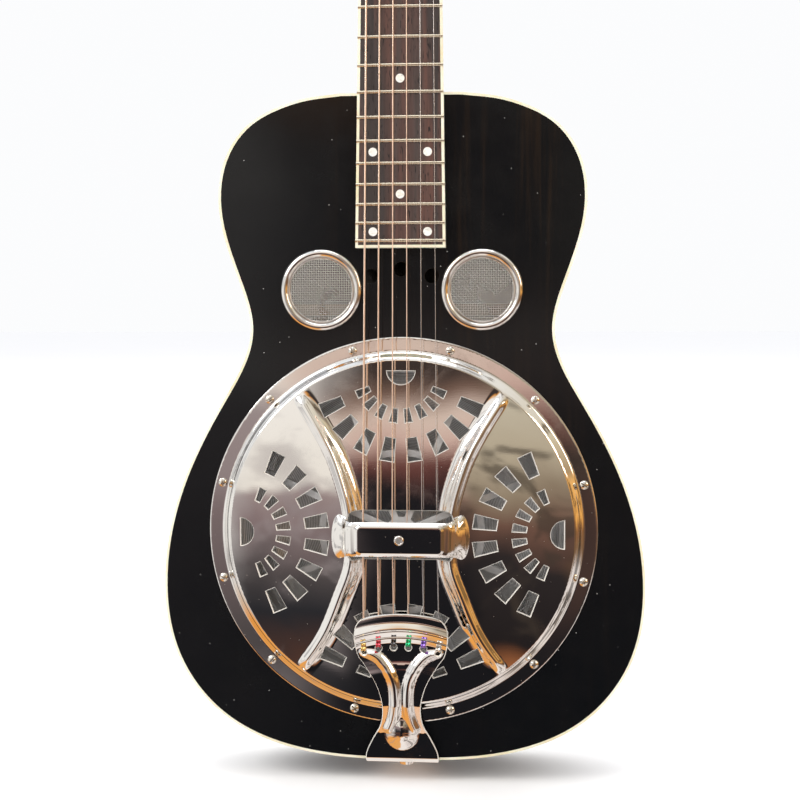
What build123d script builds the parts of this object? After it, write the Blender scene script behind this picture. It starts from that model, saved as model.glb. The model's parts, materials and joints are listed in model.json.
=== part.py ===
"""Spider-bridge resonator guitar, round neck, six strings.

Millimetres.  +Z runs up the neck, the front faces -Y and +X is the treble side.
The origin is the end pin's seat: the middle of the tail, half way through the body's depth.
"""
import os
from math import asin, ceil, cos, degrees, radians, sin, sqrt

from build123d import *

os.makedirs("parts", exist_ok=True)

# ---------------------------------------------------------------- driving dimensions
SCALE_LENGTH = 647.7          # nut to saddle
FRET_COUNT = 19
BODY_DEPTH = 86.0
TAIL_REACH = 174.3            # cone centre down to the tail
SHOULDER_REACH = 324.0        # cone centre up to the neck joint

# Right half of the body's edge, from the tail to the shoulder: (x, height over the cone centre).
BODY_EDGE = [
    (0, -TAIL_REACH), (70, -169.9), (130, -147.2), (169.8, -100), (180.8, -41), (170.3, 22),
    (136.7, 93.7), (112.8, 150.5), (121.6, 188), (136.1, 246), (130, 279.3), (109.5, 305),
    (87.5, 315.9), (64, 321.8), (46, 323.7), (31, SHOULDER_REACH),
]

BINDING_WIDTH = 1.9
BINDING_HEIGHT = 5.5
TOP_THICK = 4.0
BACK_THICK = 3.0
SIDE_THICK = 3.0
LINING_WIDTH = 6.0
LINING_HEIGHT = 12.0
BLOCK_HALF_WIDTH = 34.0
NECK_BLOCK_LENGTH = 56.0
TAIL_BLOCK_LENGTH = 25.0

WELL_INNER = 135.0            # radius of the opening for the cone
WELL_OUTER = 143.0
LEDGE_INNER = 124.6
LEDGE_TOP = -16.0
LEDGE_THICK = 6.0
PORT_COUNT = 10
PORT_RADIUS = 14.0

COVER_RADIUS = 145.3
FLANGE_INNER = 135.3
DOME_RADIUS = 129.5
SHEET = 1.0                   # pressed cover plate's thickness
RIM_HEIGHT = 6.5
LOBE_HEIGHT = 17.0
CHANNEL_HEIGHT = 9.0
BEAD_HEIGHT = 2.2
BEAD_WALL = 3.0
COVER_SCREWS = 12
COVER_SCREW_CIRCLE = 139.8

# Right edge of the sunken channel under the strings: (half width, height over the cone centre).
CHANNEL_EDGE = [
    (74.5, -103), (63, -87), (54, -71), (45, -48.5), (36.5, -24), (37.5, 18),
    (41.3, 34.4), (49, 56.5), (58, 74), (64, 84), (76, 103),
]

FAN_CENTRE = 118.0            # hub of each fan of slots, out from the cone centre
FAN_ANGLES = (9.3, 28.0, 46.7, 65.3)
INNER_SLOT = (25.0, 36.3, 4.7, 7.0)      # start radius, end radius, start width, end width
OUTER_SLOT = (47.0, 65.3, 8.6, 11.7)
HALF_MOON_RADIUS = 11.0

REST_HALF_WIDTH = 32.0        # flat top of the palm rest
REST_LENGTH = 24.0
REST_TOP = 29.0
REST_DROP = -2.0              # the palm rest sits this far below the cone centre
WINDOW_SIZE = (79.0, 37.0)
WINDOW_CORNER = 5.5
WINDOW_UP = -1.0

SCREEN_X = 59.5
SCREEN_UP = 180.1
SCREEN_OUTER = 30.3
SCREEN_INNER = 23.1
SCREEN_SLEEVE = 25.2
SOUND_HOLES = [(-22.6, 190.3), (0, 195.3), (22.6, 190.3)]
SOUND_HOLE_RADIUS = 5.8

NECK_ANGLE = 1.5              # the neck leans back from the soundboard
BOARD_OVER_CONE = 15.5        # fingerboard plane, carried on over the cone centre
BOARD_THICK = 6.4
BOARD_CROWN = 400.0
BOARD_END = 211.0
BOARD_HALF_AT_END = 33.05
BOARD_HALF_AT_NUT = 27.1
BOARD_BINDING = 2.0
FRET_WIDTH = 2.4
FRET_HEIGHT = 1.1
DOT_RADIUS = 3.2
DOUBLE_DOT_X = 20.0
SINGLE_DOTS = (3, 7, 12, 17)
DOUBLE_DOTS = (5, 9, 15, 19)
NUT_THICK = 5.0

HEAD_ANGLE = 13.0
HEAD_THICK = 15.0
HEAD_LENGTH = 178.0
VENEER = 1.6
POST_UP = (35.0, 75.0, 115.0)
POST_X = (23.5, 25.0, 26.5)
POST_RADIUS = 3.0
STRING_ON_POST = 9.0          # string height over the headstock's wood

GEAR_TEETH = 15
WORM_PITCH = 2.0
WORM_ROOT = 1.8
WORM_TIP = 2.9
WORM_HALF_LENGTH = 4.0
WORM_OFFSET = 7.2             # worm axis to post axis
GEAR_ROOT = 4.1
GEAR_TIP = 5.2
GEAR_WIDTH = 2.4
GEAR_DEPTH = 6.3              # gear and worm below the headstock's back
EAR = (1.0, -11.6, 3.3, 1.8)  # screw ear of a tuner's housing, from its post: x, y, radius, thickness
RUNNING = 0.06                # radial clearance of every turning fit

STRING_DIAMETERS = (1.42, 1.14, 0.89, 0.66, 0.43, 0.33)     # bass to treble
WOUND = 4
SPREAD_AT_NUT = 45.0
SPREAD_AT_SADDLE = 54.3
STRING_AT_NUT = 1.0           # underside of a string over the crown at the nut
STRING_AT_SADDLE = 5.6        # and at the saddle

TAIL_SHEET = 1.5
# Right edge of the tailpiece: (half width, height over the cone centre).
TAIL_HEAD = [(0, -59.5), (14, -60.2), (27, -63), (33.5, -70), (34.3, -80), (32, -91.5), (27.2, -98.5)]
TAIL_WAIST = [(27.2, -98.5), (18.5, -113.5), (14, -130), (15.2, -145), (21.5, -157), (26.4, -168)]
BALL_HOLES = [(5.5, -85.1), (16.7, -85.9), (27.8, -88.9)]
BALL_HOLE_RADIUS = 3.0
BALL_RADIUS = 1.9
TAIL_ARCH = 0.0048            # how the head's front edge falls away, times x squared
# Underside of the tailpiece from its head to the bend: (height over the cone centre, over the top).
TAIL_UNDERSIDE = [(-59.5, 12.7), (-98, 12.7), (-130, 9.6), (-152, 5.2), (-171, 2.7)]

# ---------------------------------------------------------------- reference planes
FRONT_Y = -BODY_DEPTH / 2
CONE_Z = TAIL_REACH


def front(height=0.0):
    """Plane at a height over the soundboard, centred on the cone, its y up the neck."""
    return Plane(origin=(0, FRONT_Y - height, CONE_Z), x_dir=(1, 0, 0), z_dir=(0, -1, 0))


def section(x=0.0, up=0.0):
    """Plane square to the neck through a point of the soundboard: local y runs into the body."""
    return Plane(origin=(x, FRONT_Y, CONE_Z + up), x_dir=(1, 0, 0), z_dir=(0, 0, 1))


def side_view(turn=0.0):
    """Plane through the cone's axis: local x runs outward at an angle, local y to the front."""
    angle = radians(turn)
    return Plane(
        origin=(0, FRONT_Y, CONE_Z), x_dir=(cos(angle), 0, sin(angle)), z_dir=(sin(angle), 0, -cos(angle))
    )


def tilted(origin, angle):
    """Plane facing the front, leant back by an angle, its y up the neck."""
    lean = radians(angle)
    return Plane(origin=origin, x_dir=(1, 0, 0), z_dir=(0, -cos(lean), sin(lean)))


CONE_AXIS = Axis((0, FRONT_Y, CONE_Z), (0, 1, 0))
BOARD = tilted((0, FRONT_Y - BOARD_OVER_CONE, CONE_Z), NECK_ANGLE)
WOOD_TOP = -BOARD_THICK                   # neck wood under the fingerboard plane
HEAD_START = SCALE_LENGTH + NUT_THICK
HEAD = tilted(BOARD.from_local_coords((0, HEAD_START, WOOD_TOP)), NECK_ANGLE + HEAD_ANGLE)
HEAD_BACK = HEAD.offset(-HEAD_THICK)
BACK_INSIDE = -(BODY_DEPTH - BACK_THICK)
INNER_DEPTH = BODY_DEPTH - TOP_THICK - BACK_THICK


def save(builder, name):
    """Label a finished piece and write it as one STEP file."""
    builder.part.label = name
    export_step(builder.part, f"parts/{name}.step")


def fret_place(number):
    """Distance of a fret from the saddle along the board."""
    return SCALE_LENGTH * 2 ** (-number / 12)


def board_half(along):
    """Half width of the bound fingerboard at a distance from the saddle."""
    share = (along - BOARD_END) / (SCALE_LENGTH - BOARD_END)
    return BOARD_HALF_AT_END + (BOARD_HALF_AT_NUT - BOARD_HALF_AT_END) * share


def moved_in(points, edge, inset):
    """Points of an edge curve, each moved square to the curve, to its left, by inset."""
    shifted = []
    for point in points:
        along = edge.tangent_at(point)
        shifted.append((point[0] - along.Y * inset, point[1] + along.X * inset))
    return shifted


EDGE_ENDS = [(1, 0), (-1, 0)]
BODY_CURVE = Spline(*BODY_EDGE, tangents=EDGE_ENDS)
CHANNEL_CURVE = Spline(*CHANNEL_EDGE)


def body_plan(inset):
    """The body's outline, drawn in from its outer edge."""
    points = moved_in(BODY_EDGE, BODY_CURVE, inset)
    with BuildSketch() as plan:
        with BuildLine():
            edge = Spline(*points, tangents=EDGE_ENDS)
            Line(edge @ 1, (0, SHOULDER_REACH - inset))
            mirror(about=Plane.YZ)
        make_face()
    return plan.sketch


def channel_plan(grow):
    """The hourglass channel of the cover plate, grown or shrunk by a margin."""
    points = moved_in(CHANNEL_EDGE, CHANNEL_CURVE, -grow)
    with BuildSketch() as plan:
        with BuildLine():
            edge = Spline(*points)
            Line(edge @ 1, (0, points[-1][1]))
            Line(edge @ 0, (0, points[0][1]))
            mirror(about=Plane.YZ)
        make_face()
    return plan.sketch


OUTER_PLAN = body_plan(0.0)
BOUND_PLAN = body_plan(BINDING_WIDTH)
INNER_PLAN = body_plan(SIDE_THICK)
LINED_PLAN = body_plan(SIDE_THICK + LINING_WIDTH)
CHANNEL_PLAN = channel_plan(0.0)
BEAD_OUTSIDE = channel_plan(BEAD_WALL / 2)
BEAD_INSIDE = channel_plan(-BEAD_WALL / 2)

# ---------------------------------------------------------------- wooden body
HEEL_BOLT_HEIGHTS = (-28.0, -60.0)
HEEL_BOLT_RADIUS = 3.0
HEEL_BOLT_GRIP = 12.0         # thread inside the heel
HEEL_BOLT_SPOTS = [Location((0, FRONT_Y - height, CONE_Z + SHOULDER_REACH)) for height in HEEL_BOLT_HEIGHTS]
PIN_SHANK = 2.5

with BuildSketch() as block_zones:
    with Locations((0, SHOULDER_REACH)):
        Rectangle(2 * BLOCK_HALF_WIDTH, 2 * NECK_BLOCK_LENGTH)
    with Locations((0, -TAIL_REACH)):
        Rectangle(2 * BLOCK_HALF_WIDTH, 2 * (TAIL_BLOCK_LENGTH + SIDE_THICK))

with BuildPart() as soundboard:
    with BuildSketch(front()):
        add(BOUND_PLAN)
        Circle(WELL_INNER, mode=Mode.SUBTRACT)
        with Locations((-SCREEN_X, SCREEN_UP), (SCREEN_X, SCREEN_UP)):
            Circle(SCREEN_SLEEVE + 0.1, mode=Mode.SUBTRACT)
        with Locations(*SOUND_HOLES):
            Circle(SOUND_HOLE_RADIUS, mode=Mode.SUBTRACT)
        with PolarLocations(COVER_SCREW_CIRCLE, COVER_SCREWS, start_angle=15):
            Circle(1.55, mode=Mode.SUBTRACT)
    extrude(amount=-TOP_THICK)
save(soundboard, "soundboard")

with BuildPart() as back:
    with BuildSketch(front(BACK_INSIDE)):
        add(BOUND_PLAN)
    extrude(amount=-BACK_THICK)
save(back, "back")

for name, bound in (("top_binding", 0.0), ("back_binding", BINDING_HEIGHT - BODY_DEPTH)):
    with BuildPart() as binding:
        with BuildSketch(front(bound)):
            add(OUTER_PLAN)
            add(BOUND_PLAN, mode=Mode.SUBTRACT)
        extrude(amount=-BINDING_HEIGHT)
    save(binding, name)

for name, half in (("bass_side", Keep.BOTTOM), ("treble_side", Keep.TOP)):
    with BuildPart() as side:
        with BuildSketch(front(-BINDING_HEIGHT)):
            add(OUTER_PLAN)
            add(INNER_PLAN, mode=Mode.SUBTRACT)
        extrude(amount=2 * BINDING_HEIGHT - BODY_DEPTH)
        with BuildSketch(front(-TOP_THICK)):
            add(BOUND_PLAN)
            add(INNER_PLAN, mode=Mode.SUBTRACT)
        extrude(amount=-INNER_DEPTH)
        Cylinder(PIN_SHANK, 4 * SIDE_THICK, mode=Mode.SUBTRACT)
        with Locations(*HEEL_BOLT_SPOTS):
            Cylinder(HEEL_BOLT_RADIUS, 4 * SIDE_THICK, mode=Mode.SUBTRACT)
        split(bisect_by=Plane.YZ, keep=half)
    save(side, name)

for name, top in (("top_lining", -TOP_THICK), ("back_lining", BACK_INSIDE + LINING_HEIGHT)):
    with BuildPart() as lining:
        with BuildSketch(front(top)):
            add(INNER_PLAN)
            add(LINED_PLAN, mode=Mode.SUBTRACT)
            add(block_zones.sketch, mode=Mode.SUBTRACT)
        extrude(amount=-LINING_HEIGHT)
    save(lining, name)


with BuildPart() as neck_block:
    with BuildSketch(front(-TOP_THICK)):
        with Locations((0, SHOULDER_REACH)):
            Rectangle(2 * BLOCK_HALF_WIDTH, 2 * NECK_BLOCK_LENGTH)
        add(INNER_PLAN, mode=Mode.INTERSECT)
    extrude(amount=-INNER_DEPTH)
    with Locations(*HEEL_BOLT_SPOTS):
        Cylinder(HEEL_BOLT_RADIUS, 3 * NECK_BLOCK_LENGTH, mode=Mode.SUBTRACT)
save(neck_block, "neck_block")

with BuildPart() as tail_block:
    with BuildSketch(front(-TOP_THICK)):
        with Locations((0, -TAIL_REACH)):
            Rectangle(2 * BLOCK_HALF_WIDTH, 2 * (TAIL_BLOCK_LENGTH + SIDE_THICK))
        add(INNER_PLAN, mode=Mode.INTERSECT)
    extrude(amount=-INNER_DEPTH)
    Cylinder(PIN_SHANK, 4 * TAIL_BLOCK_LENGTH, mode=Mode.SUBTRACT)
save(tail_block, "tail_block")

TOP_BRACES = ((232.0, 9.0, 12.0), (148.0, 7.0, 10.0))      # height over cone, width, depth
BACK_BRACES = ((245.0, 9.0, 12.0), (165.0, 9.0, 12.0))
for name, bars, top, sign in (
    ("top_braces", TOP_BRACES, -TOP_THICK, -1),
    ("back_braces", BACK_BRACES, BACK_INSIDE, 1),
):
    with BuildPart() as braces:
        for up, width, depth in bars:
            with BuildSketch(front(top)):
                with Locations((0, up)):
                    Rectangle(2 * WELL_OUTER, width)
                add(LINED_PLAN, mode=Mode.INTERSECT)
            extrude(amount=sign * depth)
    save(braces, name)

# ---------------------------------------------------------------- sound well, cone and spider
with BuildPart() as soundwell:
    with BuildSketch(front(-TOP_THICK)):
        Circle(WELL_OUTER)
        Circle(WELL_INNER, mode=Mode.SUBTRACT)
    extrude(amount=-INNER_DEPTH)
    with BuildSketch(front(LEDGE_TOP)):
        Circle(WELL_INNER)
        Circle(LEDGE_INNER, mode=Mode.SUBTRACT)
    extrude(amount=-LEDGE_THICK)
    port_level = FRONT_Y + BODY_DEPTH * 0.62
    for index in range(PORT_COUNT):
        turn = radians(90 + 18 + index * 360 / PORT_COUNT)
        wall = ((WELL_INNER + WELL_OUTER) / 2 * cos(turn), port_level,
                CONE_Z + (WELL_INNER + WELL_OUTER) / 2 * sin(turn))
        with BuildSketch(Plane(origin=wall, x_dir=(0, 1, 0), z_dir=(cos(turn), 0, sin(turn)))):
            Circle(PORT_RADIUS)
        extrude(amount=WELL_OUTER - WELL_INNER, both=True, mode=Mode.SUBTRACT)
    with BuildSketch(front(-TOP_THICK)):
        with PolarLocations(COVER_SCREW_CIRCLE, COVER_SCREWS, start_angle=15):
            Circle(1.2)
    extrude(amount=-8, mode=Mode.SUBTRACT)
save(soundwell, "soundwell")


def turned(profile):
    """Revolve a closed (radius, height) profile about the cone's axis."""
    with BuildPart() as body:
        with BuildSketch(side_view()):
            with BuildLine():
                Polyline(*profile, close=True)
            make_face()
        revolve(axis=CONE_AXIS)
    return body.part


CONE_SHEET = 0.8
CONE_FACE = [
    (133.4, -15.2), (124, -15.2), (121, -18), (118, -22), (114, -21), (110, -26), (106, -25),
    (102, -30), (38, -56), (30, -57), (24, -54), (12, -38), (7, -36), (2.2, -36),
]
cone_shell = turned(CONE_FACE + [(radius, height - CONE_SHEET) for radius, height in reversed(CONE_FACE)])
with BuildPart() as resonator_cone:
    add(cone_shell)
save(resonator_cone, "resonator_cone")

SPIDER_LEGS = 8
HUB_RADIUS = 12.0
SADDLE_BAR = (66.0, 11.0)
SADDLE_SLOT = (62.0, 6.6)
SADDLE_SLOT_FLOOR = 3.0
SADDLE_BAR_TOP = 11.0
LEG_WIDTH = 5.0
LEG_SIDE = [
    (8, 5), (62, 2), (118, -7), (131, -10), (131, -15.2), (125, -15.2), (116, -12), (62, -4), (8, -4),
]
SPIDER_RING = (57.0, 62.0)
SCREW_RADIUS = 2.0

with BuildPart() as spider_bridge:
    for index in range(SPIDER_LEGS):
        with BuildSketch(side_view((index + 0.5) * 360 / SPIDER_LEGS)):
            with BuildLine():
                Polyline(*LEG_SIDE, close=True)
            make_face()
        extrude(amount=LEG_WIDTH / 2, both=True)
    with BuildSketch(front(-4)):
        Circle(HUB_RADIUS)
    extrude(amount=9)
    with BuildSketch(front(-4)):
        Circle(SPIDER_RING[1])
        Circle(SPIDER_RING[0], mode=Mode.SUBTRACT)
    extrude(amount=6)
    with BuildSketch(front(-4)):
        SlotOverall(*SADDLE_BAR)
    extrude(amount=SADDLE_BAR_TOP + 4)
    with BuildSketch(front(SADDLE_SLOT_FLOOR)):
        Rectangle(*SADDLE_SLOT)
    extrude(amount=SADDLE_BAR_TOP, mode=Mode.SUBTRACT)
    with BuildSketch(front(-10)):
        Circle(SCREW_RADIUS + RUNNING)
    extrude(amount=30, mode=Mode.SUBTRACT)
save(spider_bridge, "spider_bridge")

# ---------------------------------------------------------------- string lines
STRING_COUNT = len(STRING_DIAMETERS)
SADDLE_LENGTH = 25.0
SADDLE_GAP = 11.0             # clear space for the tension screw between the two saddles


def ball_place(index):
    """Where a string's ball end sits on the tailpiece: (x, height over the cone centre)."""
    hole_x, hole_up = BALL_HOLES[ceil(abs(index - (STRING_COUNT - 1) / 2)) - 1]
    return string_side(index) * hole_x, hole_up + BALL_HOLE_RADIUS


def crown_drop(x):
    """How far the fingerboard's crown falls off towards its edge."""
    return BOARD_CROWN - sqrt(BOARD_CROWN ** 2 - x ** 2)


def string_x(index, spread):
    """Sideways place of a string for a given spread."""
    return spread * (index / (STRING_COUNT - 1) - 0.5)


def string_side(index):
    """-1 for a bass-side string, 1 for a treble-side one."""
    return -1 if index < STRING_COUNT / 2 else 1


def post_of(index):
    """Which post up the headstock a string goes to: 0 is nearest the nut."""
    return index if index < STRING_COUNT / 2 else STRING_COUNT - 1 - index


def string_points(index):
    """Corner points of a string's centre line, from its ball end to its post."""
    radius = STRING_DIAMETERS[index] / 2
    side = string_side(index)
    saddle_x = string_x(index, SPREAD_AT_SADDLE)
    nut_x = string_x(index, SPREAD_AT_NUT)
    ball_x, ball_up = ball_place(index)
    below = TAIL_UNDERSIDE[0][1] - radius - 0.05
    start = front(below).from_local_coords((ball_x, ball_up, 0))
    edge = front(below).from_local_coords((ball_x, TAIL_UNDERSIDE[0][0] - TAIL_ARCH * ball_x ** 2 + 0.3, 0))
    saddle = BOARD.from_local_coords((saddle_x, 0, STRING_AT_SADDLE + radius - crown_drop(saddle_x)))
    nut = BOARD.from_local_coords((nut_x, SCALE_LENGTH + 1, STRING_AT_NUT + radius - crown_drop(nut_x)))
    post = post_of(index)
    post_x = side * (POST_X[post] - POST_RADIUS - radius - 0.05)
    finish = HEAD.from_local_coords((post_x, POST_UP[post], STRING_ON_POST))
    return [start, edge, saddle, nut, finish]


def groove(index, corner, toward):
    """Slot that clears a string's straight run from one of its corners, open to the front."""
    points = string_points(index)
    run = (points[toward] - points[corner]).normalized()
    if run.Z < 0:
        run = -run
    facing = Vector(1, 0, 0).cross(run).normalized()
    floor = Plane(origin=points[corner], x_dir=run.cross(facing), z_dir=facing)
    reach = 12.0 if toward > corner else -12.0
    width = STRING_DIAMETERS[index] + 0.08
    with BuildPart() as cut:
        with BuildSketch(floor.offset(-width / 2)):
            with Locations((0, reach / 2)):
                Rectangle(width, abs(reach))
        extrude(amount=6)
    return cut.part


def string_solid(index):
    """One string as a round rod along its corner points."""
    points = string_points(index)
    with BuildPart() as rod:
        with BuildLine():
            path = Polyline(*points)
        with BuildSketch(Plane(origin=path @ 0, z_dir=path % 0)):
            Circle(STRING_DIAMETERS[index] / 2)
        sweep(transition=Transition.RIGHT)
    return rod.part


string_rods = [string_solid(index) for index in range(STRING_COUNT)]

for name, rods in (("wound_strings", string_rods[:WOUND]), ("plain_strings", string_rods[WOUND:])):
    with BuildPart() as strings:
        for rod in rods:
            add(rod)
    save(strings, name)

with BuildPart() as saddles:
    with BuildSketch(front(SADDLE_SLOT_FLOOR)):
        with Locations((-(SADDLE_GAP + SADDLE_LENGTH) / 2, 0), ((SADDLE_GAP + SADDLE_LENGTH) / 2, 0)):
            Rectangle(SADDLE_LENGTH, SADDLE_SLOT[1])
    extrude(amount=BOARD_OVER_CONE + STRING_AT_SADDLE + 0.8 - SADDLE_SLOT_FLOOR)
    saddle_top = BOARD.from_local_coords((0, 0, STRING_AT_SADDLE + 0.8 - BOARD_CROWN))
    with Locations(Location(saddle_top)):
        Cylinder(BOARD_CROWN, 40, mode=Mode.INTERSECT)
    for cut in [groove(index, 2, toward) for index in range(STRING_COUNT) for toward in (1, 3)]:
        add(cut, mode=Mode.SUBTRACT)
save(saddles, "saddles")

with BuildPart() as tension_screw:
    with BuildSketch(front(SADDLE_SLOT_FLOOR + 0.05)):
        Circle(3.1)
    extrude(amount=3.2)
    with BuildSketch(front(-42)):
        Circle(SCREW_RADIUS)
    extrude(amount=42 + SADDLE_SLOT_FLOOR + 0.05)
    with BuildSketch(front(SADDLE_SLOT_FLOOR + 2)):
        Rectangle(8, 1)
    extrude(amount=4, mode=Mode.SUBTRACT)
save(tension_screw, "tension_screw")

# ---------------------------------------------------------------- cover plate
DOME_MIDDLE = 0.62             # share of the radius at which the dome's arc is set
DOME_FULLNESS = 0.66


def dome_arc_points(crown, drop=0.0):
    """Three points of a dome's arc from its crown out to the rim: (radius, height)."""
    rise = crown - RIM_HEIGHT
    return (
        (0, crown - drop), (DOME_RADIUS * DOME_MIDDLE, RIM_HEIGHT + rise * DOME_FULLNESS - drop),
        (DOME_RADIUS, RIM_HEIGHT - drop),
    )


def dome_layer(crown, low_crown):
    """The space between a dome and the underside of a sheet pressed to a second dome."""
    with BuildPart() as dome:
        with BuildSketch(side_view()):
            with BuildLine():
                top = ThreePointArc(*dome_arc_points(crown))
                low = ThreePointArc(*dome_arc_points(low_crown, drop=SHEET))
                Line(top @ 1, low @ 1)
                Line(top @ 0, low @ 0)
            make_face()
        revolve(axis=CONE_AXIS)
    return dome.part


def slot_shape(start, end, start_width, end_width):
    """One tapered slot of a fan, pointing along +y from the fan's hub."""
    with BuildSketch() as slot:
        with BuildLine():
            Polyline(
                (-start_width / 2, start), (start_width / 2, start),
                (end_width / 2, end), (-end_width / 2, end), close=True,
            )
        make_face()
    return slot.sketch


def fan_shape():
    """A fan of slots round a half-moon hole, its hub at the origin, opening along +y."""
    with BuildSketch() as fan:
        for angle in FAN_ANGLES:
            for side in (-1, 1):
                add(slot_shape(*INNER_SLOT), rotation=side * angle)
                add(slot_shape(*OUTER_SLOT), rotation=side * angle)
        with BuildLine():
            arc = ThreePointArc((-HALF_MOON_RADIUS, -3), (0, HALF_MOON_RADIUS - 3), (HALF_MOON_RADIUS, -3))
            Line(arc @ 1, arc @ 0)
        make_face()
    return fan.sketch


fan = fan_shape()
lobe_shell = dome_layer(LOBE_HEIGHT, LOBE_HEIGHT)
floor_shell = dome_layer(CHANNEL_HEIGHT, CHANNEL_HEIGHT)
bead_layer = dome_layer(LOBE_HEIGHT + BEAD_HEIGHT, CHANNEL_HEIGHT)
rim = turned([
    (COVER_RADIUS, 0), (COVER_RADIUS, SHEET), (FLANGE_INNER, SHEET), (DOME_RADIUS, RIM_HEIGHT),
    (DOME_RADIUS - 0.5, RIM_HEIGHT - SHEET), (FLANGE_INNER - 0.8, 0),
])

with BuildPart() as channel_floor:
    add(floor_shell)
    with BuildSketch(front(-5)):
        add(CHANNEL_PLAN)
    extrude(amount=40, mode=Mode.INTERSECT)

with BuildPart() as beads:
    with BuildSketch(front(-5)):
        add(BEAD_OUTSIDE)
        add(BEAD_INSIDE, mode=Mode.SUBTRACT)
    extrude(amount=40)
    add(bead_layer, mode=Mode.INTERSECT)

with BuildPart() as coverplate:
    add(lobe_shell)
    with BuildSketch(front(-5)):
        add(CHANNEL_PLAN)
    extrude(amount=40, mode=Mode.SUBTRACT)
    add(channel_floor.part)
    add(beads.part)
    add(rim)
    with BuildSketch(front(-5)):
        with PolarLocations(FAN_CENTRE, 4):
            add(fan, rotation=90)
        with Locations((0, WINDOW_UP)):
            RectangleRounded(*WINDOW_SIZE, WINDOW_CORNER)
        with PolarLocations(COVER_SCREW_CIRCLE, COVER_SCREWS, start_angle=15):
            Circle(1.7)
    extrude(amount=40, mode=Mode.SUBTRACT)
save(coverplate, "coverplate")

# ---------------------------------------------------------------- palm rest and cover hardware
REST_SHEET = 1.5
REST_SHOULDER = 40.5
REST_FOOT = (46.0, 52.0)      # the foot lies on the lobe between these half widths


def lobe_height(radius):
    """Height of the lobes' outer face at a radius, from the arc that they are pressed to."""
    arc = ThreePointArc(*dome_arc_points(LOBE_HEIGHT))
    return arc.arc_center.Y + sqrt(arc.radius ** 2 - (radius - arc.arc_center.X) ** 2)


foot_heights = [lobe_height(radius) + 0.3 for radius in REST_FOOT]
with BuildPart() as palm_rest:
    with BuildSketch(section(up=REST_DROP)):
        with BuildLine():
            strap = FilletPolyline(
                (-REST_FOOT[1], -foot_heights[1]), (-REST_FOOT[0], -foot_heights[0]),
                (-REST_SHOULDER, -foot_heights[0] - 2), (-REST_HALF_WIDTH, REST_SHEET - REST_TOP),
                (REST_HALF_WIDTH, REST_SHEET - REST_TOP), (REST_SHOULDER, -foot_heights[0] - 2),
                (REST_FOOT[0], -foot_heights[0]), (REST_FOOT[1], -foot_heights[1]), radius=4,
            )
            offset(amount=REST_SHEET, side=Side.RIGHT)
        make_face()
    extrude(amount=REST_LENGTH / 2, both=True)
    with BuildSketch(front(REST_TOP + 2)):
        with Locations((0, REST_DROP)):
            Circle(2.2)
    extrude(amount=-8, mode=Mode.SUBTRACT)
save(palm_rest, "palm_rest")

with BuildPart() as coverplate_screws:
    with BuildSketch(front(SHEET)):
        with PolarLocations(COVER_SCREW_CIRCLE, COVER_SCREWS, start_angle=15):
            Circle(3.25)
    extrude(amount=2.0, taper=24)
    with BuildSketch(front(SHEET)):
        with PolarLocations(COVER_SCREW_CIRCLE, COVER_SCREWS, start_angle=15):
            Circle(1.5)
    extrude(amount=-SHEET - TOP_THICK)
    with BuildSketch(front(-TOP_THICK)):
        with PolarLocations(COVER_SCREW_CIRCLE, COVER_SCREWS, start_angle=15):
            Circle(1.15)
    extrude(amount=-7)
    with BuildSketch(front(SHEET + 1.2)):
        with PolarLocations(COVER_SCREW_CIRCLE, COVER_SCREWS, start_angle=15):
            Rectangle(8, 0.8, rotation=35)
    extrude(amount=3, mode=Mode.SUBTRACT)
save(coverplate_screws, "coverplate_screws")

BEZEL_HEIGHT = 3.4
SLEEVE_DEPTH = 7.0
SLEEVE_THICK = 0.7
MESH_THICK = 0.5
with BuildPart() as screen_bezels:
    for side in (-1, 1):
        with BuildSketch(section(side * SCREEN_X, SCREEN_UP)):
            with BuildLine():
                crest = ThreePointArc(
                    (SCREEN_INNER, -1.4), ((SCREEN_INNER + SCREEN_OUTER) / 2, -BEZEL_HEIGHT), (SCREEN_OUTER, 0)
                )
                Polyline(
                    crest @ 1, (SCREEN_SLEEVE, 0), (SCREEN_SLEEVE, SLEEVE_DEPTH),
                    (SCREEN_SLEEVE - SLEEVE_THICK, SLEEVE_DEPTH), (SCREEN_SLEEVE - SLEEVE_THICK, -0.8),
                    (SCREEN_INNER, -0.8), crest @ 0,
                )
            make_face()
        revolve(axis=Axis((side * SCREEN_X, FRONT_Y, CONE_Z + SCREEN_UP), (0, 1, 0)))
save(screen_bezels, "screen_bezels")

with BuildPart() as screen_meshes:
    with BuildSketch(front(0.78 - MESH_THICK)):
        with Locations((-SCREEN_X, SCREEN_UP), (SCREEN_X, SCREEN_UP)):
            Circle(SCREEN_SLEEVE - SLEEVE_THICK - 0.02)
    extrude(amount=MESH_THICK)
save(screen_meshes, "screen_meshes")

# ---------------------------------------------------------------- tailpiece
TAIL_WRAP = 52.0              # how far it reaches down the tail
TAIL_FACE = -TAIL_REACH - 0.25
TAIL_LEG = (27.0, 13.0)       # half width at the bend and at the end pin

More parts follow.
